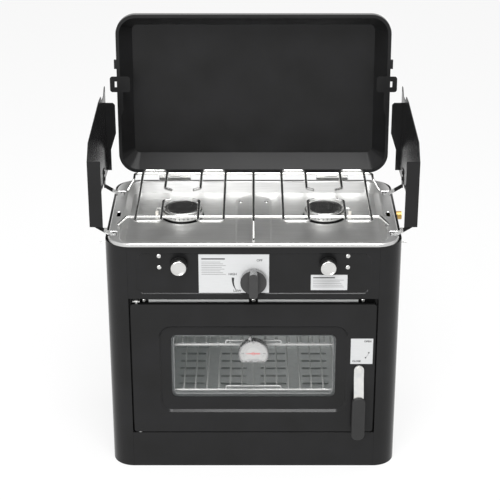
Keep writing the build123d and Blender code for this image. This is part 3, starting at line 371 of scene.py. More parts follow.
stageSizes = {"floorHalf": 6.0, "skyStrength": 0.62, "floorShare": 0.8}
lampAim = (0, 0, 0.35)
lampSizes = {
    "keyLamp": {"place": (-1.2, -2.5, 1.3), "size": 1.2, "power": 34},
    "topLamp": {"place": (0.15, -1.2, 2.6), "size": 0.9, "power": 38},
    "lidLamp": {"place": (0.3, 0.1, 2.7), "size": 1.3, "power": 19},
}


def showsBackground(tree):
    # camera, mirror and glass rays see the plain background
    path = addNode(tree, "ShaderNodeLightPath")
    seen = path.outputs["Is Camera Ray"]
    for name in ("Is Glossy Ray", "Is Transmission Ray"):
        seen = addNode(tree, "ShaderNodeMath", {0: seen, 1: path.outputs[name]}, operation="MAXIMUM").outputs[0]
    return seen


def makeFloor(s):
    half = s["floorHalf"]
    mesh = bpy.data.meshes.new("floor")
    mesh.from_pydata([(-half, -half, 0), (half, -half, 0), (half, half, 0), (-half, half, 0)], [], [(0, 1, 2, 3)])
    floor = bpy.data.objects.new("floor", mesh)
    bpy.context.scene.collection.objects.link(floor)
    material = bpy.data.materials.new("paleFloor")
    material.use_nodes = True
    tree = material.node_tree
    tree.nodes.clear()
    matte = addNode(tree, "ShaderNodeBsdfDiffuse", {"Color": toLinear("#f4f4f4")})
    glow = addNode(tree, "ShaderNodeEmission", {"Color": (1, 1, 1, 1), "Strength": 1.0})
    share = addNode(tree, "ShaderNodeMath", {0: showsBackground(tree), 1: s["floorShare"]}, operation="MULTIPLY")
    mix = addNode(tree, "ShaderNodeMixShader", {0: share.outputs[0], 1: matte.outputs[0], 2: glow.outputs[0]})
    addNode(tree, "ShaderNodeOutputMaterial", {"Surface": mix.outputs[0]})
    mesh.materials.append(material)


def makeSky(s):
    world = bpy.data.worlds.new("studio")
    bpy.context.scene.world = world
    world.use_nodes = True
    tree = world.node_tree
    tree.nodes.clear()
    soft = addNode(tree, "ShaderNodeBackground", {"Color": (1, 1, 1, 1), "Strength": s["skyStrength"]})
    plain = addNode(tree, "ShaderNodeBackground", {"Color": (1, 1, 1, 1), "Strength": 1.0})
    mix = addNode(tree, "ShaderNodeMixShader", {0: showsBackground(tree), 1: soft.outputs[0],
                                                2: plain.outputs[0]})
    addNode(tree, "ShaderNodeOutputWorld", {"Surface": mix.outputs[0]})


def makeLamp(name, s):
    data = bpy.data.lights.new(name, "AREA")
    data.shape = "SQUARE"
    data.size = s["size"]
    data.energy = s["power"]
    lamp = bpy.data.objects.new(name, data)
    bpy.context.scene.collection.objects.link(lamp)
    lamp.location = s["place"]
    lamp.rotation_euler = (Vector(lampAim) - Vector(s["place"])).to_track_quat("-Z", "Y").to_euler()


makeFloor(stageSizes)
makeSky(stageSizes)
for lampName, lampValues in lampSizes.items():
    makeLamp(lampName, lampValues)
bpy.context.scene.view_settings.view_transform = "Standard"
print("stage: floor and light")


# Carried shapes: the CAD's triangles merged, the edges eased

# gaps in millimetres and turns in degrees
mergeSizes = {"gap": 0.01, "seamGap": 0.0001, "levelSlack": 0.02, "flatTurn": 0.6, "edgeTurn": 32, "wireTurn": 40,
              "faceWeight": 60}


def bodyOf(node):
    return nodes[node]["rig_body"]


def giveTo(piece, body, slotName, *replaced):
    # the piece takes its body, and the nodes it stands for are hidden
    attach(piece, body)
    if replaced:
        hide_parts(*replaced)
    return piece


def pieceFrom(mesh, name):
    piece = bpy.data.objects.new(name, mesh)
    bpy.context.scene.collection.objects.link(piece)
    return piece


def meshFrom(form, name, *materials):
    # the built form as a mesh with its finishes
    mesh = bpy.data.meshes.new(name)
    form.to_mesh(mesh)
    form.free()
    for material in materials:
        mesh.materials.append(material)
    return mesh


def smoothed(mesh, turn):
    # round faces look round, and edges past this turn in degrees stay sharp
    mesh.shade_smooth()
    mesh.set_sharp_from_angle(angle=math.radians(turn))
    return mesh


def mergedCopy(node):
    # loose triangles joined into flat faces
    form = bmesh.new()
    form.from_mesh(nodes[node].data)
    bmesh.ops.remove_doubles(form, verts=form.verts, dist=mergeSizes["gap"] * mm)
    bmesh.ops.dissolve_limit(form, angle_limit=math.radians(mergeSizes["flatTurn"]), verts=form.verts,
                             edges=form.edges)
    return form


def foldRim(form, level, slant):
    # the square edges at this level become a slanted fold
    slack = mergeSizes["levelSlack"] * mm
    rim = [e for e in form.edges if all(abs(v.co.z - level * mm) < slack for v in e.verts)]
    bmesh.ops.bevel(form, geom=rim, offset=slant * mm, segments=1, profile=0.5, affect="EDGES")


def eased(node, name, slotName, *materials, width=0.4, steps=2, paintBy=None, parting=None, folds=()):
    form = mergedCopy(node)
    for level, slant in folds:
        foldRim(form, level, slant)
    if parting:
        # a line across the faces where one finish ends and the next begins
        bmesh.ops.bisect_plane(form, geom=form.verts[:] + form.edges[:] + form.faces[:],
                               plane_co=(parting, 0, 0), plane_no=(1, 0, 0))
    if paintBy:
        for face in form.faces:
            face.material_index = paintBy(face.calc_center_median(), face.normal)
    mesh = meshFrom(form, name, *materials)
    piece = pieceFrom(mesh, name)
    if width:
        mesh.shade_smooth()
        bevel = piece.modifiers.new("easedEdge", "BEVEL")
        bevel.width = width * mm
        bevel.segments = steps
        bevel.limit_method = "ANGLE"
        bevel.angle_limit = math.radians(mergeSizes["edgeTurn"])
        bevel.use_clamp_overlap = True
        weighted = piece.modifiers.new("flatFaces", "WEIGHTED_NORMAL")
        weighted.weight = mergeSizes["faceWeight"]
    else:
        smoothed(mesh, mergeSizes["wireTurn"])
    return giveTo(piece, bodyOf(node), slotName, node)


# Each node with its piece, its finish and the width of its eased edges

shellSizes = {
    "black_enamel": {
        "base_pan": ("basePan", paint, 0.4), "left_side_panel": ("leftSide", paint, 0.4),
        "right_side_panel": ("rightSide", paint, 0.4), "back_panel": ("rearPanel", paint, 0.4),
        "front_base_panel": ("footPanel", paint, 0.5), "control_panel": ("controlFascia", paint, 0.5),
        "oven_front_frame": ("mouthFrame", paint, 0.4), "door_skin": ("doorFace", paint, 0.5),
        "lid_shell": ("lidPan", paint, 0.5), "left_wing": ("leftWindWing", paint, 0.4),
        "right_wing": ("rightWindWing", paint, 0.4), "lid_catch_plates": ("lidCatchPlates", paint, 0.25),
    },
    "galvanised": {
        "frame_strips": ("mouthStrips", galvanised, 0.3), "lid_hinge_leaves": ("hingeLeaves", zinc, 0.25),
        "lid_hinge_flaps": ("hingeFlaps", zinc, 0.25), "wing_brackets": ("wingEars", zinc, 0.25),
        "latch_brackets": ("hookEars", zinc, 0.25), "door_brackets": ("doorBrackets", zinc, 0.3),
        "door_liner": ("doorLiner", linerSteel, 0.3), "oven_box": ("ovenLining", galvanised, 0.3),
        "hinge_pins": ("hingePins", zinc, 0), "gas_manifold": ("gasRail", zinc, 0),
        "oven_burner": ("ovenFlameTube", zinc, 0), "heat_shield": ("heatShield", galvanised, 0),
        "handle_shaft": ("pullShaft", zinc, 0), "rack_rails": ("rackRails", galvanised, 0),
        "oven_floor_plate": ("ovenFloor", galvanised, 0), "left_stem": ("stemLeft", zinc, 0),
        "right_stem": ("stemRight", zinc, 0), "oven_stem": ("stemOven", zinc, 0),
    },
    "chrome_wire": {
        "handle_strap": ("pullStrap", zinc, 0.25), "grate_rods": ("grateRods", chrome, 0),
        "left_grate_loops": ("grateLoopsLeft", chrome, 0), "right_grate_loops": ("grateLoopsRight", chrome, 0),
        "lower_rack": ("rackLower", nickel, 0), "upper_rack": ("rackUpper", nickel, 0),
        "left_latch_hook": ("hookLeft", chrome, 0), "right_latch_hook": ("hookRight", chrome, 0),
    },
    "grip_plastic": {"handle_grip": ("pullGrip", grip, 0.5)},
    "brass": {"gas_inlet": ("hoseTail", brass, 0), "gas_valves": ("valveBlocks", brass, 0)},
    "cast_aluminium": {"oven_gas_tube": ("ovenFeed", cast, 0)},
    "window_glass": {"thermometer_lens": ("dialLens", lens, 0.2), "door_window": ("ovenPane", glass, 0.4)},
}
for slotName, shells in shellSizes.items():
    for nodeName, (pieceName, finish, width) in shells.items():
        eased(nodeName, pieceName, slotName, finish, width=width)
    print("stage: carried pieces,", slotName, len(shells))


# Tray: the raised middle and the outer rim get slanted folds, top side and under side

traySizes = {"edge": 0.7, "folds": ((436.0, 3.4), (435.0, 2.8), (452.0, 1.6), (451.0, 1.0))}
eased("cooktop_tray", "hobTray", "stainless", stainless, width=traySizes["edge"], folds=traySizes["folds"])
print("stage: tray")


# Wing straps: hatched zinc at the foot, painted where they meet the wing

strapSizes = {"parting": 262.0, "edge": 0.2}


def strapPaint(side, s):
    def choose(centre, normal):
        return 1 if side * centre.x > s["parting"] * mm else 0
    return choose


for sideName, side in (("left", -1), ("right", 1)):
    eased(sideName + "_wing_straps", sideName + "WingStraps", "galvanised", hatched, paint, width=strapSizes["edge"],
          paintBy=strapPaint(side, strapSizes), parting=side * strapSizes["parting"] * mm)
print("stage: wing straps")


# Geometry Nodes trees for what repeats

roundness = {"headSegments": 32, "headRings": 16, "portSides": 12}


def newTree(name, *inputs):
    tree = bpy.data.node_groups.new(name, "GeometryNodeTree")
    for label, kind in inputs:
        tree.interface.new_socket(label, in_out="INPUT", socket_type="NodeSocket" + kind)
    tree.interface.new_socket("Geometry", in_out="OUTPUT", socket_type="NodeSocketGeometry")
    return tree, addNode(tree, "NodeGroupInput").outputs


def closeTree(tree, entry, instances):
    # real geometry with its finish
    real = addNode(tree, "GeometryNodeRealizeInstances", {"Geometry": instances})
    done = addNode(tree, "GeometryNodeSetMaterial", {"Geometry": real.outputs[0], "Material": entry["Finish"]})
    addNode(tree, "NodeGroupOutput", {"Geometry": done.outputs[0]})
    return tree


def grow(tree, source, values):
    # run a tree once on a mesh and keep the plain mesh that comes out
    seed = bpy.data.objects.new("seed", source)
    bpy.context.scene.collection.objects.link(seed)
    modifier = seed.modifiers.new("grow", "NODES")
    modifier.node_group = tree
    for item in tree.interface.items_tree:
        if item.in_out == "INPUT" and item.name in values:
            modifier[item.identifier] = values[item.name]
    bpy.context.view_layer.update()
    evaluated = seed.evaluated_get(bpy.context.evaluated_depsgraph_get())
    mesh = bpy.data.meshes.new_from_object(evaluated)
    bpy.data.objects.remove(seed)
    return mesh


def ringTree():
    # round ribs set on a circle
    tree, entry = newTree("ringOfRibs", ("Count", "Int"), ("Ring Radius", "Float"), ("Rib Radius", "Float"),
                          ("Rib Length", "Float"), ("Rib Sides", "Int"), ("Finish", "Material"))
    circle = addNode(tree, "GeometryNodeMeshCircle", {"Vertices": entry["Count"], "Radius": entry["Ring Radius"]})
    rib = addNode(tree, "GeometryNodeMeshCylinder", {"Vertices": entry["Rib Sides"], "Radius": entry["Rib Radius"],
                                                     "Depth": entry["Rib Length"]})
    place = addNode(tree, "GeometryNodeInputPosition")
    turn = addNode(tree, "FunctionNodeAlignRotationToVector", {"Vector": place.outputs[0]}, axis="X")
    put = addNode(tree, "GeometryNodeInstanceOnPoints", {"Points": circle.outputs[0], "Instance": rib.outputs[0],
                                                         "Rotation": turn.outputs[0]})
    return closeTree(tree, entry, put.outputs[0])


def markTree():
    # flat bars set on a circle like the marks of a dial
    tree, entry = newTree("ringOfMarks", ("Count", "Int"), ("Ring Radius", "Float"), ("Sweep", "Float"),
                          ("Mark Width", "Float"), ("Mark Length", "Float"), ("Mark Depth", "Float"),
                          ("Finish", "Material"))
    arc = addNode(tree, "GeometryNodeCurveArc", {"Resolution": entry["Count"], "Radius": entry["Ring Radius"],
                                                 "Sweep Angle": entry["Sweep"]})
    points = addNode(tree, "GeometryNodeCurveToPoints", {"Curve": arc.outputs[0]}, mode="EVALUATED")
    size = addNode(tree, "ShaderNodeCombineXYZ", {"X": entry["Mark Length"], "Y": entry["Mark Width"],
                                                  "Z": entry["Mark Depth"]})
    mark = addNode(tree, "GeometryNodeMeshCube", {"Size": size.outputs[0]})
    place = addNode(tree, "GeometryNodeInputPosition")
    turn = addNode(tree, "FunctionNodeAlignRotationToVector", {"Vector": place.outputs[0]}, axis="X")
    put = addNode(tree, "GeometryNodeInstanceOnPoints", {"Points": points.outputs[0], "Instance": mark.outputs[0],
                                                         "Rotation": turn.outputs[0]})
    return closeTree(tree, entry, put.outputs[0])


def headTree():
    # domed heads with a crossed recess, each turned to its own facing
    tree, entry = newTree("domedHeads", ("Geometry", "Geometry"), ("Head Radius", "Float"),
                          ("Head Height", "Float"), ("Recess", "Float"), ("Finish", "Material"))
    ball = addNode(tree, "GeometryNodeMeshUVSphere", {
        "Segments": roundness["headSegments"], "Rings": roundness["headRings"], "Radius": entry["Head Radius"]})
    flat = addNode(tree, "ShaderNodeMath", {0: entry["Head Height"], 1: entry["Head Radius"]}, operation="DIVIDE")
    squash = addNode(tree, "ShaderNodeCombineXYZ", {"X": 1.0, "Y": 1.0, "Z": flat.outputs[0]})
    dome = addNode(tree, "GeometryNodeTransform", {"Geometry": ball.outputs[0], "Scale": squash.outputs[0]})
    spot = addNode(tree, "ShaderNodeSeparateXYZ", {"Vector": addNode(tree, "GeometryNodeInputPosition").outputs[0]})
    floor = addNode(tree, "ShaderNodeMath", {0: spot.outputs["Z"], 1: 0.0}, operation="MAXIMUM")
    level = addNode(tree, "ShaderNodeCombineXYZ", {"X": spot.outputs["X"], "Y": spot.outputs["Y"],
                                                   "Z": floor.outputs[0]})
    head = addNode(tree, "GeometryNodeSetPosition", {"Geometry": dome.outputs[0], "Position": level.outputs[0]})
    arms = addNode(tree, "GeometryNodeJoinGeometry")
    for long, short in (("X", "Y"), ("Y", "X")):
        size = addNode(tree, "ShaderNodeCombineXYZ", {long: entry["Head Radius"], short: entry["Recess"],
                                                      "Z": entry["Head Height"]})
        arm = addNode(tree, "GeometryNodeMeshCube", {"Size": size.outputs[0]})
        lift = addNode(tree, "ShaderNodeCombineXYZ", {"Z": entry["Head Height"]})
        raised = addNode(tree, "GeometryNodeTransform", {"Geometry": arm.outputs[0], "Translation": lift.outputs[0]})
        tree.links.new(raised.outputs[0], arms.inputs[0])
    cut = addNode(tree, "GeometryNodeMeshBoolean", {"Mesh 1": head.outputs[0], "Mesh 2": arms.outputs[0]},
                  operation="DIFFERENCE", solver="EXACT")
    cut.inputs["Self Intersection"].default_value = True
    facing = addNode(tree, "GeometryNodeInputNamedAttribute", {"Name": "facing"}, data_type="FLOAT_VECTOR")
    turn = addNode(tree, "FunctionNodeAlignRotationToVector", {"Vector": facing.outputs[0]}, axis="Z")
    put = addNode(tree, "GeometryNodeInstanceOnPoints", {"Points": entry["Geometry"], "Instance": cut.outputs[0],
                                                         "Rotation": turn.outputs[0]})
    return closeTree(tree, entry, put.outputs[0])


def portTree():
    # a ring of round holes bored through a turned wall
    tree, entry = newTree("ringOfPorts", ("Geometry", "Geometry"), ("Count", "Int"), ("Ring Radius", "Float"),
                          ("Port Radius", "Float"), ("Port Depth", "Float"), ("Centre", "Vector"),
                          ("Finish", "Material"))
    circle = addNode(tree, "GeometryNodeMeshCircle", {"Vertices": entry["Count"], "Radius": entry["Ring Radius"]})
    bore = addNode(tree, "GeometryNodeMeshCylinder", {
        "Vertices": roundness["portSides"], "Radius": entry["Port Radius"], "Depth": entry["Port Depth"]})
    outward = addNode(tree, "FunctionNodeAlignRotationToVector",
                      {"Vector": addNode(tree, "GeometryNodeInputPosition").outputs[0]}, axis="Z")
    put = addNode(tree, "GeometryNodeInstanceOnPoints", {"Points": circle.outputs[0], "Instance": bore.outputs[0],
                                                         "Rotation": outward.outputs[0]})
    real = addNode(tree, "GeometryNodeRealizeInstances", {"Geometry": put.outputs[0]})
    moved = addNode(tree, "GeometryNodeTransform", {"Geometry": real.outputs[0], "Translation": entry["Centre"]})
    cut = addNode(tree, "GeometryNodeMeshBoolean", {"Mesh 1": entry["Geometry"], "Mesh 2": moved.outputs[0]},
                  operation="DIFFERENCE", solver="EXACT")
    return closeTree(tree, entry, cut.outputs[0])


ribs = ringTree()
marks = markTree()
heads = headTree()
ports = portTree()


# Mesh helpers in millimetres

def turned(profile, name, material, turn=35, sides=64):
    # a closed profile of radius and height turned about the z axis
    form = bmesh.new()
    rings = []
    for radius, height in profile:
        if radius == 0:
            rings.append([form.verts.new((0, 0, height))])
        else:
            rings.append([form.verts.new((radius * math.cos(2 * math.pi * k / sides),
                                          radius * math.sin(2 * math.pi * k / sides), height))
                          for k in range(sides)])
    for low, high in zip(rings, rings[1:]):
        for k in range(sides):
            j = (k + 1) % sides
            if len(low) == 1 and len(high) > 1:
                form.faces.new((low[0], high[j], high[k]))
            elif len(high) == 1 and len(low) > 1:
                form.faces.new((low[k], low[j], high[0]))
            elif len(low) > 1:
                form.faces.new((low[k], low[j], high[j], high[k]))
    bmesh.ops.remove_doubles(form, verts=form.verts, dist=mergeSizes["seamGap"])
    bmesh.ops.recalc_face_normals(form, faces=form.faces)
    return smoothed(meshFrom(form, name, material), turn)


def facingFront(x, y, z):
    # the part's own z axis turned to the front, then put in place, in millimetres
    place = Matrix.Translation(Vector((x, y, z)) * mm)
    return place @ Matrix.Rotation(math.radians(90), 4, "X") @ Matrix.Scale(mm, 4)


def joined(meshes, name):
    # several meshes as one, each keeping its own materials
    form = bmesh.new()
    found = []
    for mesh in meshes:
        start = len(form.faces)
        form.from_mesh(mesh)
        form.faces.ensure_lookup_table()
        for face in form.faces[start:]:
            material = mesh.materials[face.material_index] if mesh.materials else None
            if material not in found:
                found.append(material)
            face.material_index = found.index(material)
    return meshFrom(form, name, *found)


# size of the type over the height of a capital
typeShare = 1.4


def wordMesh(text, height, place, material, depth=0.12, bold=0.12):
    # flat lettering that faces the front
    data = bpy.data.curves.new("word", "FONT")
    data.body = text
    data.size = height * typeShare
    data.offset = bold
    data.extrude = depth / 2
    data.align_x = "CENTER"
    data.align_y = "CENTER"
    word = bpy.data.objects.new("word", data)
    bpy.context.scene.collection.objects.link(word)
    bpy.context.view_layer.update()
    mesh = bpy.data.meshes.new_from_object(word.evaluated_get(bpy.context.evaluated_depsgraph_get()))
    bpy.data.objects.remove(word)
    mesh.transform(facingFront(*place))
    mesh.materials.clear()
    mesh.materials.append(material)
    return mesh


def barMesh(x0, x1, y0, y1, z0, z1, material):
    form = bmesh.new()
    bmesh.ops.create_cube(form, size=1)
    middle = Vector(((x0 + x1) / 2, (y0 + y1) / 2, (z0 + z1) / 2)) * mm
    size = Matrix.Diagonal((abs(x1 - x0) * mm, abs(y1 - y0) * mm, abs(z1 - z0) * mm, 1))
    form.transform(Matrix.Translation(middle) @ size)
    return meshFrom(form, "bar", material)


def arcMesh(centre, radius, wideStart, wideEnd, start, end, ink, material, steps=32):
    # a raised arc on a face that looks to the front, its width running from one value to another
    form = bmesh.new()
    rows = []
    for k in range(steps + 1):
        share = k / steps
        turn = math.radians(start + (end - start) * share)
        half = (wideStart + (wideEnd - wideStart) * share) / 2
        rows.append([form.verts.new(Vector((centre[0] + r * math.cos(turn), y, centre[2] + r * math.sin(turn))) * mm)
                     for r, y in ((radius - half, centre[1]), (radius + half, centre[1]),
                                  (radius + half, centre[1] - ink), (radius - half, centre[1] - ink))])
    for a, b in zip(rows, rows[1:]):
        for i in range(4):
            form.faces.new((a[i], a[(i + 1) % 4], b[(i + 1) % 4], b[i]))
    form.faces.new(rows[0])
    form.faces.new(rows[-1])
    bmesh.ops.recalc_face_normals(form, faces=form.faces)
    return meshFrom(form, "arc", material)


def plateOf(outline, y0, y1, material):
    # a flat piece with this outline of x and z between two depths
    form = bmesh.new()
    near = [form.verts.new(Vector((x, y0, z)) * mm) for x, z in outline]
    far = [form.verts.new(Vector((x, y1, z)) * mm) for x, z in outline]
    form.faces.new(near)
    form.faces.new(far)
    for k in range(len(outline)):
        j = (k + 1) % len(outline)
        form.faces.new((near[k], near[j], far[j], far[k]))
    bmesh.ops.recalc_face_normals(form, faces=form.faces)
    return meshFrom(form, "plate", material)


# Burners: a cast wall with a row of flame ports, and a spreader disc that closes it

burnerSizes = {
    "spread": 130.0, "depth": 12.0, "wallRadius": 37.0, "portLevel": 440.6, "portCount": 30, "portRadius": 1.4,
    "portDepth": 7.0, "seat": 444.0, "electrodeLevel": 445.05,
    # radius and rise above the seat
    "disc": ((0, 0), (36.5, 0), (36.8, 0.3), (36.8, 1.7), (36.5, 2), (34, 2.1), (34, 4), (33.4, 5.2), (32.4, 5.85),
             (31.6, 6), (30, 6), (28.5, 5.2), (28, 5.2), (0, 5.2)),
    "discSides": 96,
}


def burnerWall(sideName, side, s):
    node = sideName + "_burner"
    mesh = grow(ports, meshFrom(mergedCopy(node), "wall"), {
        "Count": s["portCount"], "Ring Radius": s["wallRadius"] * mm, "Port Radius": s["portRadius"] * mm,
        "Port Depth": s["portDepth"] * mm, "Finish": cast,
        "Centre": (side * s["spread"] * mm, s["depth"] * mm, s["portLevel"] * mm)})
    smoothed(mesh, mergeSizes["wireTurn"])
    giveTo(pieceFrom(mesh, sideName + "FlameRing"), bodyOf(node), "cast_aluminium", node)


def spreaderDiscs(s):
    discs = []
    for side in (-1, 1):
        disc = turned(s["disc"], "disc", chrome, sides=s["discSides"])
        place = Vector((side * s["spread"], s["depth"], s["seat"])) * mm
        disc.transform(Matrix.Translation(place) @ Matrix.Scale(mm, 4))
        discs.append(disc)
    giveTo(pieceFrom(joined(discs, "spreaderDiscs"), "spreaderDiscs"), bodyOf("burner_caps"), "cast_aluminium",
           "burner_caps")


burnerWall("left", -1, burnerSizes)
burnerWall("right", 1, burnerSizes)
spreaderDiscs(burnerSizes)
# spark rods: glazed sleeve below, bare wire above
eased("igniters", "sparkRods", "ceramic", ceramic, chrome, width=0,
      paintBy=lambda centre, normal: 1 if centre.z > burnerSizes["electrodeLevel"] * mm else 0)
print("stage: burners and spark rods")


# Screws and rivets: domed chrome heads with a crossed recess

screwSizes = {
    "headRadius": 4.0, "headHeight": 1.5, "recess": 0.9,
    "frameSpread": 194.5, "frameLevel": 331.0, "frameFace": -133.5,
    "panelSpread": 164.5, "panelLevels": (404.5, 426.0), "panelFace": -150.4,
    "traySpread": 24.0, "trayDepth": 70.0, "trayLevel": 436.0,
}


def makeScrews(s):
    spots = [((x, s["frameFace"], s["frameLevel"]), (0, -1, 0)) for x in (-s["frameSpread"], 0, s["frameSpread"])]
    for level in s["panelLevels"]:
        spots += [((x, s["panelFace"], level), (0, -1, 0)) for x in (-s["panelSpread"], s["panelSpread"])]
    spots += [((x, s["trayDepth"], s["trayLevel"]), (0, 0, 1)) for x in (-s["traySpread"], s["traySpread"])]
    cloud = bpy.data.meshes.new("screwSpots")
    cloud.from_pydata([[c * mm for c in place] for place, facing in spots], [], [])
    facings = cloud.attributes.new("facing", "FLOAT_VECTOR", "POINT")
    for item, (place, facing) in zip(facings.data, spots):
        item.vector = facing
    mesh = grow(heads, cloud, {"Head Radius": s["headRadius"] * mm, "Head Height": s["headHeight"] * mm,
                               "Recess": s["recess"] * mm, "Finish": chrome})
    smoothed(mesh, mergeSizes["wireTurn"])
    giveTo(pieceFrom(mesh, "crossScrews"), bodyOf("screws"), "chrome_wire", "screws")


makeScrews(screwSizes)
print("stage: screws")


# Slotted knobs of the two burners: ribbed skirt and a dished chrome cap

smallKnobSizes = {
    "spread": 130.0, "level": 411.0, "back": -153.4, "ribCount": 40, "ribRing": 14.7, "ribRadius": 0.8,
    "ribLength": 11.0, "ribMiddle": 7.1, "ribSides": 8,
    # radius and height above the panel side, with the bore for the stem
    "skirt": ((3.05, 9), (3.05, 0), (14.1, 0), (14.7, 0.8), (14.7, 13.8), (13.9, 15), (0, 15), (0, 9), (3.05, 9)),
    "cap": ((0, 15), (13.2, 15), (13.5, 15.3), (13.5, 17), (13.15, 17.7), (12.5, 18), (11.9, 18), (11.5, 17.7),
            (10.3, 16.9), (5.75, 17.15), (0, 17.25)),
    "capTurn": 50,
}


def smallKnob(sideName, side, s):
    x = side * s["spread"]
    skirt = turned(s["skirt"], "skirt", knobPlastic)
    cap = turned(s["cap"], "cap", chrome, turn=s["capTurn"])
    ring = grow(ribs, bpy.data.meshes.new("none"), {
        "Count": s["ribCount"], "Ring Radius": s["ribRing"], "Rib Radius": s["ribRadius"],
        "Rib Length": s["ribLength"], "Rib Sides": s["ribSides"], "Finish": knobPlastic})
    skirt.transform(facingFront(x, s["back"], s["level"]))
    cap.transform(facingFront(x, s["back"], s["level"]))
    ring.transform(facingFront(x, s["back"] - s["ribMiddle"], s["level"]))
    piece = pieceFrom(joined((skirt, ring, cap), sideName + "BurnerKnob"), sideName + "BurnerKnob")
    giveTo(piece, bodyOf(sideName + "_knob"), "knob_plastic", sideName + "_knob")


smallKnob("left", -1, smallKnobSizes)
smallKnob("right", 1, smallKnobSizes)
print("stage: burner knobs")


# Oven knob: charcoal face and bar on a satin metal rim

ovenKnobSizes = {"back": -153.4, "backDeep": 3.0, "edge": 0.7, "faceTurn": 0.75}


def ovenKnob(s):
    # the carried shape, painted by which way each face looks
    def choose(centre, normal):
        return 0 if normal.y < -s["faceTurn"] or centre.y > (s["back"] - s["backDeep"]) * mm else 1
    eased("oven_knob", "ovenKnobBar", "knob_plastic", knobFace, satin, width=s["edge"], steps=3, paintBy=choose)


ovenKnob(ovenKnobSizes)
print("stage: oven knob")


# Printed plates: aluminium with lettering and marks

plateSizes = {
    "face": -151.0, "thick": 0.6, "ink": 0.08, "wordHigh": 4.2,
    "words": (("HIGH", -36.5, 391.5), ("LOW", -28.5, 359.3), ("OFF", 10.5, 418)),
    "wedgeRadius": 36.0, "wedgeWide": 4.6, "wedgeEnd": 0.3, "wedgeTurns": (172, 218), "dialLevel": 380,
    # left, right, low and high edge of the large and the small plate
    "large": (-95.8, 27.2, 355.4, 429.5), "small": (100.4, 164.4, 360.7, 390.1),
    # margin, length, drop and height of the heading
    "largeHead": (5, 41, 9.6, 2.2), "smallHead": (4, 38, 6.4, 2.0),
    # count, drop and pitch of the lines, then their length, its ragged part and how that runs
    "largeLines": (8, 15, 3.4, 33, 12, 7, 5), "smallLines": (5, 10.5, 3.3, 54, -9, 3, 4), "lineHigh": 1.0,
}


def smallPrint(s, plate, head, lines, y):
    # a heading and lines of grey bars, where the real plate has its text
    left, right, low, high = plate
    ink = y - s["ink"]
    margin, long, drop, tall = head
    x = left + margin
    prints = [barMesh(left, right, y, y + s["thick"], low, high, plateFace),
              barMesh(x, x + long, ink, y, high - drop, high - drop + tall, darkInk)]
    count, drop, pitch, long, ragged, step, cycle = lines
    for row in range(count):
        z = high - drop - row * pitch
        end = x + long + ragged * ((row * step) % cycle) / cycle
        prints.append(barMesh(x, end, ink, y, z, z + s["lineHigh"], greyInk))
    return prints


def makePlates(s):
    y = s["face"]
    prints = smallPrint(s, s["large"], s["largeHead"], s["largeLines"], y)
    prints += smallPrint(s, s["small"], s["smallHead"], s["smallLines"], y)
    prints += [wordMesh(word, s["wordHigh"], (x, y, z), darkInk) for word, x, z in s["words"]]
    prints.append(arcMesh((0, y, s["dialLevel"]), s["wedgeRadius"], s["wedgeWide"], s["wedgeEnd"], *s["wedgeTurns"],
                          s["ink"], darkInk))
    giveTo(pieceFrom(joined(prints, "printedPlates"), "printedPlates"), bodyOf("panel_labels"), "printed_plate",
           "panel_labels")


makePlates(plateSizes)
print("stage: printed plates")


# Door plate beside the window: two square marks for the handle and a dotted arc between them

doorPlateSizes = {
    "left": 173.6, "right": 213.3, "low": 214.0, "high": 265.0, "face": -152.0, "thick": 0.4, "ink": 0.08,
    "wordHigh": 3.6, "words": (("OPEN", 203.8, 259.5), ("CLOSE", 184.6, 219.5)),
    "arcMiddle": (177.6, 246.0), "arcRadius": 30.0, "endTurns": (50, 72), "endHalf": 1.2,
    "dotTurns": tuple(range(53, 72, 3)), "dotHalf": 0.5,
}


def makeDoorPlate(s):
    y = s["face"] - s["thick"]
    prints = [barMesh(s["left"], s["right"], y, s["face"], s["low"], s["high"], plateFace)]
    prints += [wordMesh(word, s["wordHigh"], (x, y, z), darkInk) for word, x, z in s["words"]]
    for turns, half, finish in ((s["endTurns"], s["endHalf"], darkInk), (s["dotTurns"], s["dotHalf"], greyInk)):
        for turn in turns:
            x = s["arcMiddle"][0] + s["arcRadius"] * math.sin(math.radians(turn))
            z = s["arcMiddle"][1] - s["arcRadius"] * math.cos(math.radians(turn))
            prints.append(barMesh(x - half, x + half, y - s["ink"], y, z - half, z + half, finish))
    giveTo(pieceFrom(joined(prints, "doorPlate"), "doorPlate"), bodyOf("door_skin"), "printed_plate")


makeDoorPlate(doorPlateSizes)
print("stage: door plate")


# Thermometer: bright case, printed dial with marks, tapered pointer

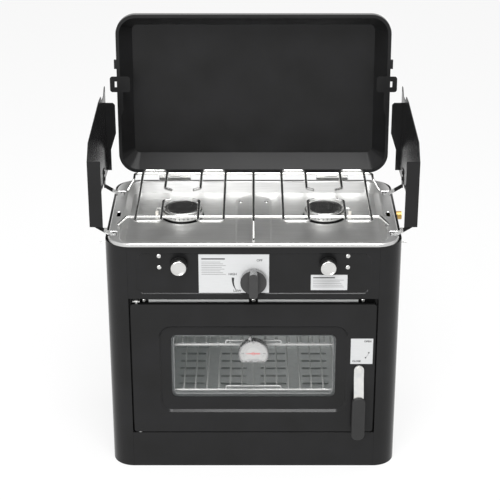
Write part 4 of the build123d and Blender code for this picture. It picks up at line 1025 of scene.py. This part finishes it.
dialSizes = {
    "level": 237.5, "face": -157.2, "ink": 0.06, "ringRadius": 14.0, "ringWide": 1.6, "ringTurns": (-20, 200),
    "markRadius": 18.0, "markCount": 25, "markWide": 0.5, "markLong": 2.6, "sweep": 240.0, "numberHigh": 2.3,
    "numbers": (("100", -19.44, 237.5), ("200", 0, 259.1), ("300", 19.44, 237.5)),
    "barHalf": 9.5, "barLow": 224.2, "barHigh": 227.2,
}
pointerSizes = {
    "back": -157.5, "armThick": 0.48,
    "arm": ((-14.0, -0.35), (-2.8, -1.0), (11.0, -1.25), (12.0, 0), (11.0, 1.25), (-2.8, 1.0), (-14.0, 0.35)),
    "hub": ((1.05, 0), (2.8, 0), (2.8, 0.45), (2.3, 0.75), (1.05, 0.75), (1.05, 0)), "hubSides": 40,
}


def makeDial(s):
    base = meshFrom(mergedCopy("thermometer_dial"), "dialBase", card)
    y = s["face"]
    middle = (0, y, s["level"])
    ring = grow(marks, bpy.data.meshes.new("none"), {
        "Count": s["markCount"], "Ring Radius": s["markRadius"], "Sweep": math.radians(s["sweep"]),
        "Mark Width": s["markWide"], "Mark Length": s["markLong"], "Mark Depth": 2 * s["ink"], "Finish": darkInk})
    ring.transform(facingFront(*middle) @ Matrix.Rotation(math.radians(90 - s["sweep"] / 2), 4, "Z"))
    wide = s["ringWide"]
    prints = [base, arcMesh(middle, s["ringRadius"], wide, wide, *s["ringTurns"], s["ink"], greyInk),
              barMesh(-s["barHalf"], s["barHalf"], y - s["ink"], y, s["barLow"], s["barHigh"], greyInk), ring]
    prints += [wordMesh(word, s["numberHigh"], (x, y, z), darkInk) for word, x, z in s["numbers"]]
    giveTo(pieceFrom(joined(prints, "printedDial"), "printedDial"), bodyOf("thermometer_dial"), "dial_white",
           "thermometer_dial")


def makePointer(s):
    # a red arm that widens to its tail, on a small domed hub
    level = dialSizes["level"]
    arm = plateOf([(x, level + rise) for x, rise in s["arm"]], s["back"], s["back"] - s["armThick"], redInk)
    hub = turned(s["hub"], "hub", redInk, sides=s["hubSides"])
    hub.transform(facingFront(0, s["back"], level))
    giveTo(pieceFrom(joined((arm, hub), "redPointer"), "redPointer"), bodyOf("thermometer_needle"), "needle_red",
           "thermometer_needle")


makeDial(dialSizes)
makePointer(pointerSizes)
roundSizes = {"caseEdge": 0.7, "sealEdge": 1.4, "steps": 3}
eased("thermometer_case", "dialCase", "chrome_wire", satin, width=roundSizes["caseEdge"], steps=roundSizes["steps"])
eased("door_gasket", "ropeSeal", "rope_seal", rope, width=roundSizes["sealEdge"], steps=roundSizes["steps"])
print("stage: thermometer and door seal")
